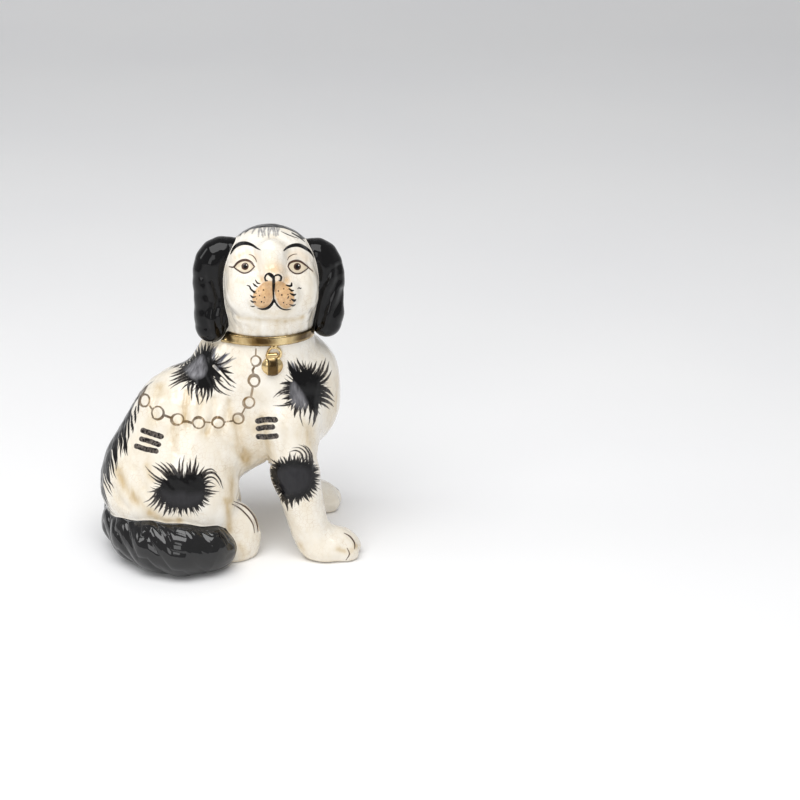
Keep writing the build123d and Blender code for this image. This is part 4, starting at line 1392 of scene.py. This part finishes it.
def make_ivory():
    m, nt, bsdf = material("ivory_glaze")
    k = Net(nt)
    co = k.coords()
    edge = 0.16
    cover = lambda name, w=edge: k.ramp(k.attr(name), -w, w, 1.0, 0.0)
    # glaze with stain gathered in its hollows
    cloud = k.noise(co, 34.0, 3.0, 0.55, 0.4)
    streak = k.noise(k.stretch(co, (90.0, 90.0, 26.0)), 1.0, 3.0, 0.6, 0.6)
    st = k.math("MULTIPLY", k.attr("stain"), k.ramp(streak, 0.30, 0.66, 0.55, 1.25))
    st = k.math("ADD", st, k.ramp(cloud, 0.47, 0.74, 0.0, 0.24))
    st = k.math("ADD", st, k.ramp(k.noise(k.stretch(co, (150.0, 150.0, 95.0)), 1.0, 4.0, 0.62), 0.50, 0.72, 0.0, 0.16))
    st = k.math("MINIMUM", st, 1.0)
    col = k.mix(st, lin(247, 243, 234), lin(214, 194, 156))
    deep = k.ramp(st, 0.55, 1.1, 0.0, 0.45)
    col = k.mix(deep, col, lin(184, 154, 108))
    # crazing
    cr = k.cracks(k.stretch(co, (1.0, 1.0, 1.0)), 330.0)
    cr_m = k.ramp(cr, 0.0, 0.045, 1.0, 0.0)
    patchy = k.ramp(k.noise(co, 60.0, 2.0), 0.40, 0.62, 0.04, 0.42)
    col = k.mix(k.math("MULTIPLY", cr_m, patchy), col, lin(190, 160, 118))
    # face washes
    col = k.mix(k.math("MULTIPLY", k.attr("peach"), 0.78), col, lin(234, 186, 120))
    col = k.mix(k.math("MULTIPLY", k.ramp(k.attr("eye"), -0.45, 0.25, 1.0, 0.0), 0.85), col, lin(216, 200, 172))
    mottled = k.mix(k.ramp(k.noise(co, 420.0, 3.0, 0.6), 0.35, 0.68), lin(224, 180, 122), lin(196, 146, 90))
    col = k.mix(k.math("MULTIPLY", k.ramp(k.attr("blush"), -0.9, 0.5, 1.0, 0.0, True), 0.88), col, mottled)
    # brushed greyish strokes, and greyer black where the paint is thin
    brush = k.noise(k.stretch(co, (260.0, 260.0, 60.0)), 1.0, 4.0, 0.65)
    col = k.mix(k.math("MULTIPLY", cover("soft", 0.5), k.ramp(brush, 0.30, 0.60, 0.55, 1.0)), col, lin(78, 80, 92))
    thin = k.math("MULTIPLY", k.ramp(k.attr("ink"), 0.0, -0.5, 0.45, 0.0), k.ramp(brush, 0.45, 0.70))
    thin = k.math("MULTIPLY", thin, k.ramp(k.attr("hair"), 0.0, 0.5, 0.0, 1.0))
    black = k.mix(thin, lin(10, 9, 10), lin(78, 73, 70))
    fade = k.math("MULTIPLY", k.ramp(k.attr("tip"), 0.15, 2.0, 0.0, 0.85), k.ramp(k.noise(k.stretch(co, (700.0, 700.0, 420.0)), 1.0, 3.0, 0.6), 0.40, 0.62))
    fade = k.math("MULTIPLY", fade, k.ramp(k.attr("hair"), 0.0, 0.5, 0.0, 1.0))
    black = k.mix(fade, black, lin(112, 104, 98))
    black = k.mix(k.math("MULTIPLY", cover("wash", 2.2), k.ramp(brush, 0.2, 0.8, 0.5, 1.0)), black, lin(46, 45, 48))
    # painted reflection: a light sheen over part of the shoulder and chest patches
    black = k.mix(k.math("MULTIPLY", cover("painted_sheen", 1.6), k.ramp(brush, 0.30, 0.62, 0.25, 1.0)), black, lin(138, 137, 141))
    col = k.mix(cover("brown"), col, k.mix(k.ramp(brush, 0.3, 0.7), lin(58, 36, 24), lin(84, 54, 36)))
    ink = cover("ink")
    col = k.mix(ink, col, black)
    gold = cover("gold", 0.20)
    worn = k.ramp(k.noise(co, 260.0, 3.0, 0.6), 0.32, 0.66, 0.62, 1.0)
    col = k.mix(k.math("MULTIPLY", gold, worn), col, k.mix(k.ramp(k.noise(co, 55.0, 2.0), 0.42, 0.58), lin(88, 68, 46), lin(126, 96, 52)))
    # painted highlight on each eye
    col = k.mix(cover("eye_glint", 0.12), col, lin(240, 238, 232))
    k.put(bsdf.inputs["Base Color"], col)
    k.put(bsdf.inputs["Metallic"], k.math("MULTIPLY", gold, 0.55))
    rough = k.ramp(k.noise(co, 150.0, 3.0), 0.3, 0.7, 0.10, 0.19)
    k.put(bsdf.inputs["Roughness"], rough)
    bsdf.inputs["IOR"].default_value = 1.5
    k.put(bsdf.inputs["Specular IOR Level"], k.ramp(ink, 0.0, 1.0, 0.5, 0.26))
    k.put(bsdf.inputs["Coat Weight"], k.ramp(ink, 0.0, 1.0, 0.22, 0.0))
    bsdf.inputs["Coat Roughness"].default_value = 0.06
    swell = k.noise(co, 70.0, 2.0, 0.5)
    nrm = k.bump(swell, 0.5, 0.0008)
    fine = k.noise(co, 520.0, 2.0, 0.5)
    nrm = k.bump(fine, 0.25, 0.00012, nrm)
    raised = k.math("ADD", ink, gold)
    nrm = k.bump(raised, 0.35, 0.00006, nrm)
    nrm = k.bump(cr_m, 0.12, -0.00003, nrm)
    k.put(bsdf.inputs["Normal"], nrm)
    return m


def make_black(name, level):
    m, nt, bsdf = material(name)
    k = Net(nt)
    co = k.coords()
    cloud = k.noise(co, 60.0, 3.0, 0.6, 0.5)
    brush = k.noise(k.stretch(co, (190.0, 190.0, 40.0)), 1.0, 4.0, 0.6)
    col = k.mix(k.ramp(cloud, 0.35, 0.7), lin(5, 5, 6), lin(13, 12, 13))
    col = k.mix(k.ramp(brush, 0.55, 0.78, 0.0, 0.5), col, lin(30, 28, 28))
    k.put(bsdf.inputs["Base Color"], col)
    k.put(bsdf.inputs["Roughness"], k.ramp(k.noise(co, 120.0, 3.0), 0.3, 0.72, 0.03, 0.10))
    bsdf.inputs["IOR"].default_value = 1.52
    bsdf.inputs["Specular IOR Level"].default_value = level
    nrm = k.bump(k.noise(co, 85.0, 2.0, 0.5), 0.25, 0.0007)
    nrm = k.bump(k.noise(co, 300.0, 2.0, 0.5), 0.12, 0.0001, nrm)
    k.put(bsdf.inputs["Normal"], nrm)
    return m


def make_gold():
    m, nt, bsdf = material("gold_lustre")
    k = Net(nt)
    co = k.coords()
    cloud = k.noise(co, 90.0, 4.0, 0.6, 0.3)
    worn = k.noise(co, 420.0, 4.0, 0.65)
    col = k.mix(k.ramp(cloud, 0.35, 0.65), lin(240, 216, 164), lin(176, 142, 88))
    col = k.mix(k.ramp(worn, 0.60, 0.78, 0.0, 0.6), col, lin(78, 58, 34))
    # painted reflection: darkens the gilt where dark reflections are laid on the collar and the padlock strap
    col = k.mix(k.attr("dark_reflection"), col, lin(54, 36, 16))
    k.put(bsdf.inputs["Base Color"], col)
    bsdf.inputs["Metallic"].default_value = 1.0
    k.put(bsdf.inputs["Roughness"], k.ramp(worn, 0.3, 0.75, 0.12, 0.30))
    nrm = k.bump(k.noise(co, 160.0, 3.0, 0.5), 0.5, 0.0004)
    nrm = k.bump(k.noise(co, 900.0, 2.0, 0.5), 0.3, 0.00006, nrm)
    k.put(bsdf.inputs["Normal"], nrm)
    return m


def make_clay():
    m, nt, bsdf = material("bare_clay")
    k = Net(nt)
    co = k.coords()
    cloud = k.noise(co, 80.0, 5.0, 0.65)
    grit = k.noise(co, 1400.0, 3.0, 0.6)
    col = k.mix(k.ramp(cloud, 0.3, 0.7), lin(222, 208, 182), lin(190, 170, 138))
    col = k.mix(k.ramp(grit, 0.6, 0.75, 0.0, 0.5), col, lin(140, 118, 92))
    k.put(bsdf.inputs["Base Color"], col)
    k.put(bsdf.inputs["Roughness"], k.ramp(grit, 0.3, 0.7, 0.65, 0.9))
    nrm = k.bump(grit, 0.4, 0.0002)
    nrm = k.bump(cloud, 0.3, 0.0006, nrm)
    k.put(bsdf.inputs["Normal"], nrm)
    return m


IVORY, BLACK, GOLD, CLAY = make_ivory(), make_black("black_enamel", 0.27), make_gold(), make_clay()
# a lit copy of the black enamel: the same black with a higher specular level, so the tail reflects the lamps more
# brightly than the ears
TAIL_BLACK = make_black("black_enamel_lit_copy", 0.62)


# ------------------------------------------------------------------ pieces
def build(name, V, T, normals, mat, attrs=None):
    me = bpy.data.meshes.new(name)
    P = ((V + SHIFT) * MM).astype(np.float32)
    me.vertices.add(len(P))
    me.vertices.foreach_set("co", P.ravel())
    me.loops.add(len(T) * 3)
    me.loops.foreach_set("vertex_index", T.astype(np.int32).ravel())
    me.polygons.add(len(T))
    me.polygons.foreach_set("loop_start", np.arange(0, len(T) * 3, 3, dtype=np.int32))
    me.polygons.foreach_set("use_smooth", np.ones(len(T), bool))
    me.update(calc_edges=True)
    if attrs:
        for key, val in attrs.items():
            a = me.attributes.new(key, "FLOAT", "POINT")
            a.data.foreach_set("value", val.astype(np.float32))
    if normals is not None:
        me.normals_split_custom_set(normals.reshape(-1, 3).tolist())
    me.materials.append(mat)
    ob = bpy.data.objects.new(name, me)
    bpy.context.scene.collection.objects.link(ob)
    return ob


SLOT_OF = {"tail": ("black_enamel", TAIL_BLACK), "right_ear": ("black_enamel", BLACK), "left_ear": ("black_enamel", BLACK),
           "foot_slab": ("bare_clay", CLAY)}
for name, kk in L.items():
    rows = np.nonzero(body.lab == kk)[0]
    t = body.T[rows]
    kind = body.kind[rows]
    vs, inv = np.unique(t, return_inverse=True)
    t2 = inv.reshape(t.shape)
    fn = np.cross(body.V[t[:, 1]] - body.V[t[:, 0]], body.V[t[:, 2]] - body.V[t[:, 0]])
    fn /= np.linalg.norm(fn, axis=1, keepdims=True) + 1e-12
    nrm = np.repeat(fn[:, None, :], 3, 1)
    o = kind == 0
    nrm[o] = VN[t[o]]
    slot_name, mat = SLOT_OF.get(name, ("ivory_glaze", IVORY))
    attrs = {k: v[vs] for k, v in layers.items()} if mat is IVORY else None
    ob = build(name + "_form", body.V[vs], t2, nrm, mat, attrs)
    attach(ob, "root")
    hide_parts(name)
say("pieces built")


# ------------------------------------------------------------------ gilt relief
def neck_skin(p):
    return field(p, detail=False)


def collar_field(p):
    h = p[..., 2] - (NECK_C[2] + NECK_SLOPE * (p[..., 1] - NECK_C[1]))
    d = smin(trunk(p), skull(p), 5)
    d = d - 0.25
    band = smax(np.abs(h - 1.5).astype(F32) - 3.6, np.abs(d) - 1.7, 1.9) + 0.05 * wob(p, 3.0, 1.0)
    # the band runs out where the ears were laid over it
    return smax(band, 1.6 - np.minimum(ear_right(p), ear_left(p)), 0.8)


def hit(u, v):
    """The place on the skin seen at (u, v) of the layout, and the way it faces."""
    d = LOOK + (u - 400) / FPX * RIGHT - (v - 400) / FPX * UP
    d /= np.linalg.norm(d)
    t = DIST - 160
    for _ in range(200):
        f = float(field((EYE + d * t)[None, :], detail=False)[0])
        t += 0.6 * f
        if abs(f) < 0.01:
            break
    p = EYE + d * t
    _, g = with_slope(lambda q: field(q, detail=False), p[None, :], 2.5)
    g = g[0] / np.linalg.norm(g[0])
    return p, g


case_p, case_n = hit(272.2, 365.8)
ring_p, ring_n = hit(274.0, 353.2)
say("case", case_p, case_n, "ring", ring_p, ring_n)


def basis(n):
    z = n / np.linalg.norm(n)
    x = np.cross(np.array([0, 0, 1.0]), z)
    x /= np.linalg.norm(x)
    return np.stack([x, np.cross(z, x), z], 1)


case_n = case_n + np.array([0, -0.25, 0])
BC, BR = basis(case_n), basis(ring_n + np.array([0, -0.15, 0]))


def case_field(p):
    q = (p - case_p) @ BC
    r = np.sqrt(q[..., 0] ** 2 + (1.1 * q[..., 1]) ** 2)
    d = ell(q.astype(F32), (0, 0, 0.4), (6.8, 6.2, 3.5))
    d = smax(d, (-(q[..., 2] + 1.2)).astype(F32), 0.6)
    rim = np.sqrt((r - 6.1) ** 2 + (q[..., 2] - 0.6) ** 2) - 0.75
    d = smin(d, rim.astype(F32), 0.7)
    # flat neck that hangs in the ring, and the raised strap down the face
    d = smin(d, cap(q.astype(F32), (-2.6, 7.4, 1.3), (2.6, 7.4, 1.3), 1.7, 1.7), 1.2)
    strap = smax(np.abs(q[..., 0]).astype(F32) - 2.5 - 0.10 * (q[..., 1].astype(F32) - 1.0) ** 2 * 0.3, (ell(q.astype(F32), (0, 0, 0.4), (7.4, 6.8, 4.3))).astype(F32), 0.7)
    strap = smax(strap, (q[..., 1] - 7.2).astype(F32), 0.6)
    strap = smax(strap, (-q[..., 2]).astype(F32), 0.6)
    return smin(d, strap, 0.5)


def ring_field(p):
    q = (p - ring_p) @ BR - np.array([0, 0, 1.0])
    r = np.sqrt(q[..., 0] ** 2 + q[..., 1] ** 2)
    d = np.sqrt((r - 4.35) ** 2 + q[..., 2] ** 2) - 0.85
    link = np.sqrt((np.sqrt((q[..., 0] * 1.0) ** 2 + (q[..., 1] - 5.6) ** 2) - 1.25) ** 2 + (q[..., 2] - 0.3) ** 2) - 0.55
    return smin(d.astype(F32), link.astype(F32), 0.4)


# painted reflection on the gilt collar: dark bands where a dark room would be mirrored, a lighter lower edge as a
# painted highlight, darker top and bottom edges, and a wavy dark pattern round the back
def band_painted_reflection(V):
    u, v = to_px(V)
    h = V[:, 2] - (NECK_C[2] + NECK_SLOPE * (V[:, 1] - NECK_C[1])) - 1.5
    near = 0.95 * np.exp(-((u - 263) / 12.0) ** 2) + 0.92 * np.exp(-((u - 303) / 9.5) ** 2) + 0.85 * np.exp(-((u - 229) / 3.2) ** 2)
    near = near * (1 - 0.55 * ss(-h, 0.9, 2.2)) * (1 - 0.3 * ss(h, 2.0, 3.0)) + 0.12
    far = 0.45 + 0.45 * np.sin(V[:, 0] * 0.21 + 1.0)
    s = np.where(V[:, 1] < -9, near, far)
    edge = ss(np.abs(h), 2.5, 3.6)
    return np.clip(s + 0.35 * edge + 0.10 * wob(V, 4.0, 2.0), 0, 0.93)


# painted reflection: the raised strap down the padlock face is darkened as if it mirrored a dark room
def strap_painted_reflection(V):
    q = (V - case_p) @ BC
    return 0.85 * ss(3.4 - np.abs(q[:, 0]), -0.3, 0.5) * ss(6.0 - q[:, 1], 0, 1.0)


def relief(name, node, fun, low, high, h, settle_steps=3, dark_reflection=None):
    V, T = nets(fun, low, high, h)
    V = settle(V, settle_steps, fun=fun, most=0.5 * h, e=0.05)
    ob = build(name, V, T, None, GOLD, {"dark_reflection": dark_reflection(V) if dark_reflection else np.zeros(len(V))})
    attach(ob, "root")
    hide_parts(node)
    say(name, len(V), len(T))
    return ob


relief("collar_band", "collar", collar_field, (-8, -46, 143), (64, 34, 164), 0.75, dark_reflection=band_painted_reflection)
relief("padlock_body", "padlock_case", case_field, case_p - 10.5, case_p + 10.5, 0.33, dark_reflection=strap_painted_reflection)
relief("padlock_ring", "padlock_shackle", ring_field, ring_p - 9.5, ring_p + 9.5, 0.3)

# ------------------------------------------------------------------ stage
floor_mesh = bpy.data.meshes.new("floor")
S = 6.0
ring_pts = []
NX = 48
prof = [(-S, 0.0), (1.4, 0.0)]
for i in range(1, 17):
    a = math.pi / 2 * i / 16
    prof.append((1.4 + 1.2 * math.sin(a), 1.2 - 1.2 * math.cos(a)))
prof.append((2.6, 5.0))
verts = [(x, y, z) for (y, z) in prof for x in (-S, S)]
faces = [(2 * i, 2 * i + 1, 2 * i + 3, 2 * i + 2) for i in range(len(prof) - 1)]
floor_mesh.from_pydata(verts, [], faces)
floor_mesh.polygons.foreach_set("use_smooth", np.ones(len(faces), bool))
floor = bpy.data.objects.new("floor", floor_mesh)
bpy.context.scene.collection.objects.link(floor)
fm, fnt, fb = material("paper_sweep")
kf = Net(fnt)
fcol = kf.mix(kf.ramp(kf.noise(kf.coords(), 3.0, 3.0), 0.3, 0.7), lin(247, 247, 248), lin(250, 250, 250))
kf.put(fb.inputs["Base Color"], fcol)
fb.inputs["Roughness"].default_value = 0.65
floor_mesh.materials.append(fm)

world = bpy.data.worlds.new("room")
bpy.context.scene.world = world
world.use_nodes = True
bg = world.node_tree.nodes["Background"]
bg.inputs["Color"].default_value = (0.985, 0.99, 1.0, 1.0)
bg.inputs["Strength"].default_value = 0.42


def softbox(name, at, to, size, power, color=(1, 1, 1)):
    li = bpy.data.lights.new(name, "AREA")
    li.shape = "RECTANGLE"
    li.size, li.size_y = size
    li.energy = power
    li.color = color
    ob = bpy.data.objects.new(name, li)
    bpy.context.scene.collection.objects.link(ob)
    ob.location = at
    ob.rotation_euler = (Vector(to) - Vector(at)).to_track_quat("-Z", "Y").to_euler()
    return ob


softbox("key", (-0.15, -0.55, 1.48), (0.0, 0.0, 0.10), (1.7, 0.95), 19.5)
softbox("front", (-0.75, -1.75, 0.80), (0.0, 0.0, 0.08), (1.0, 1.0), 6.0)
softbox("side", (-1.5, 0.1, 0.95), (0.0, 0.0, 0.12), (0.4, 0.7), 2.5)

cam_data = bpy.data.cameras.new("station")
cam_data.lens = LENS
cam_data.sensor_width = 36.0
cam_data.clip_end = 50
cam = bpy.data.objects.new("station", cam_data)
bpy.context.scene.collection.objects.link(cam)
eye = (EYE + SHIFT) * MM
aim = (AIM + SHIFT) * MM
cam.location = eye
cam.rotation_euler = Vector(aim - eye).to_track_quat("-Z", "Y").to_euler()
bpy.context.scene.camera = cam
bpy.context.scene.view_settings.view_transform = "Standard"

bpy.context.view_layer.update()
say("done")
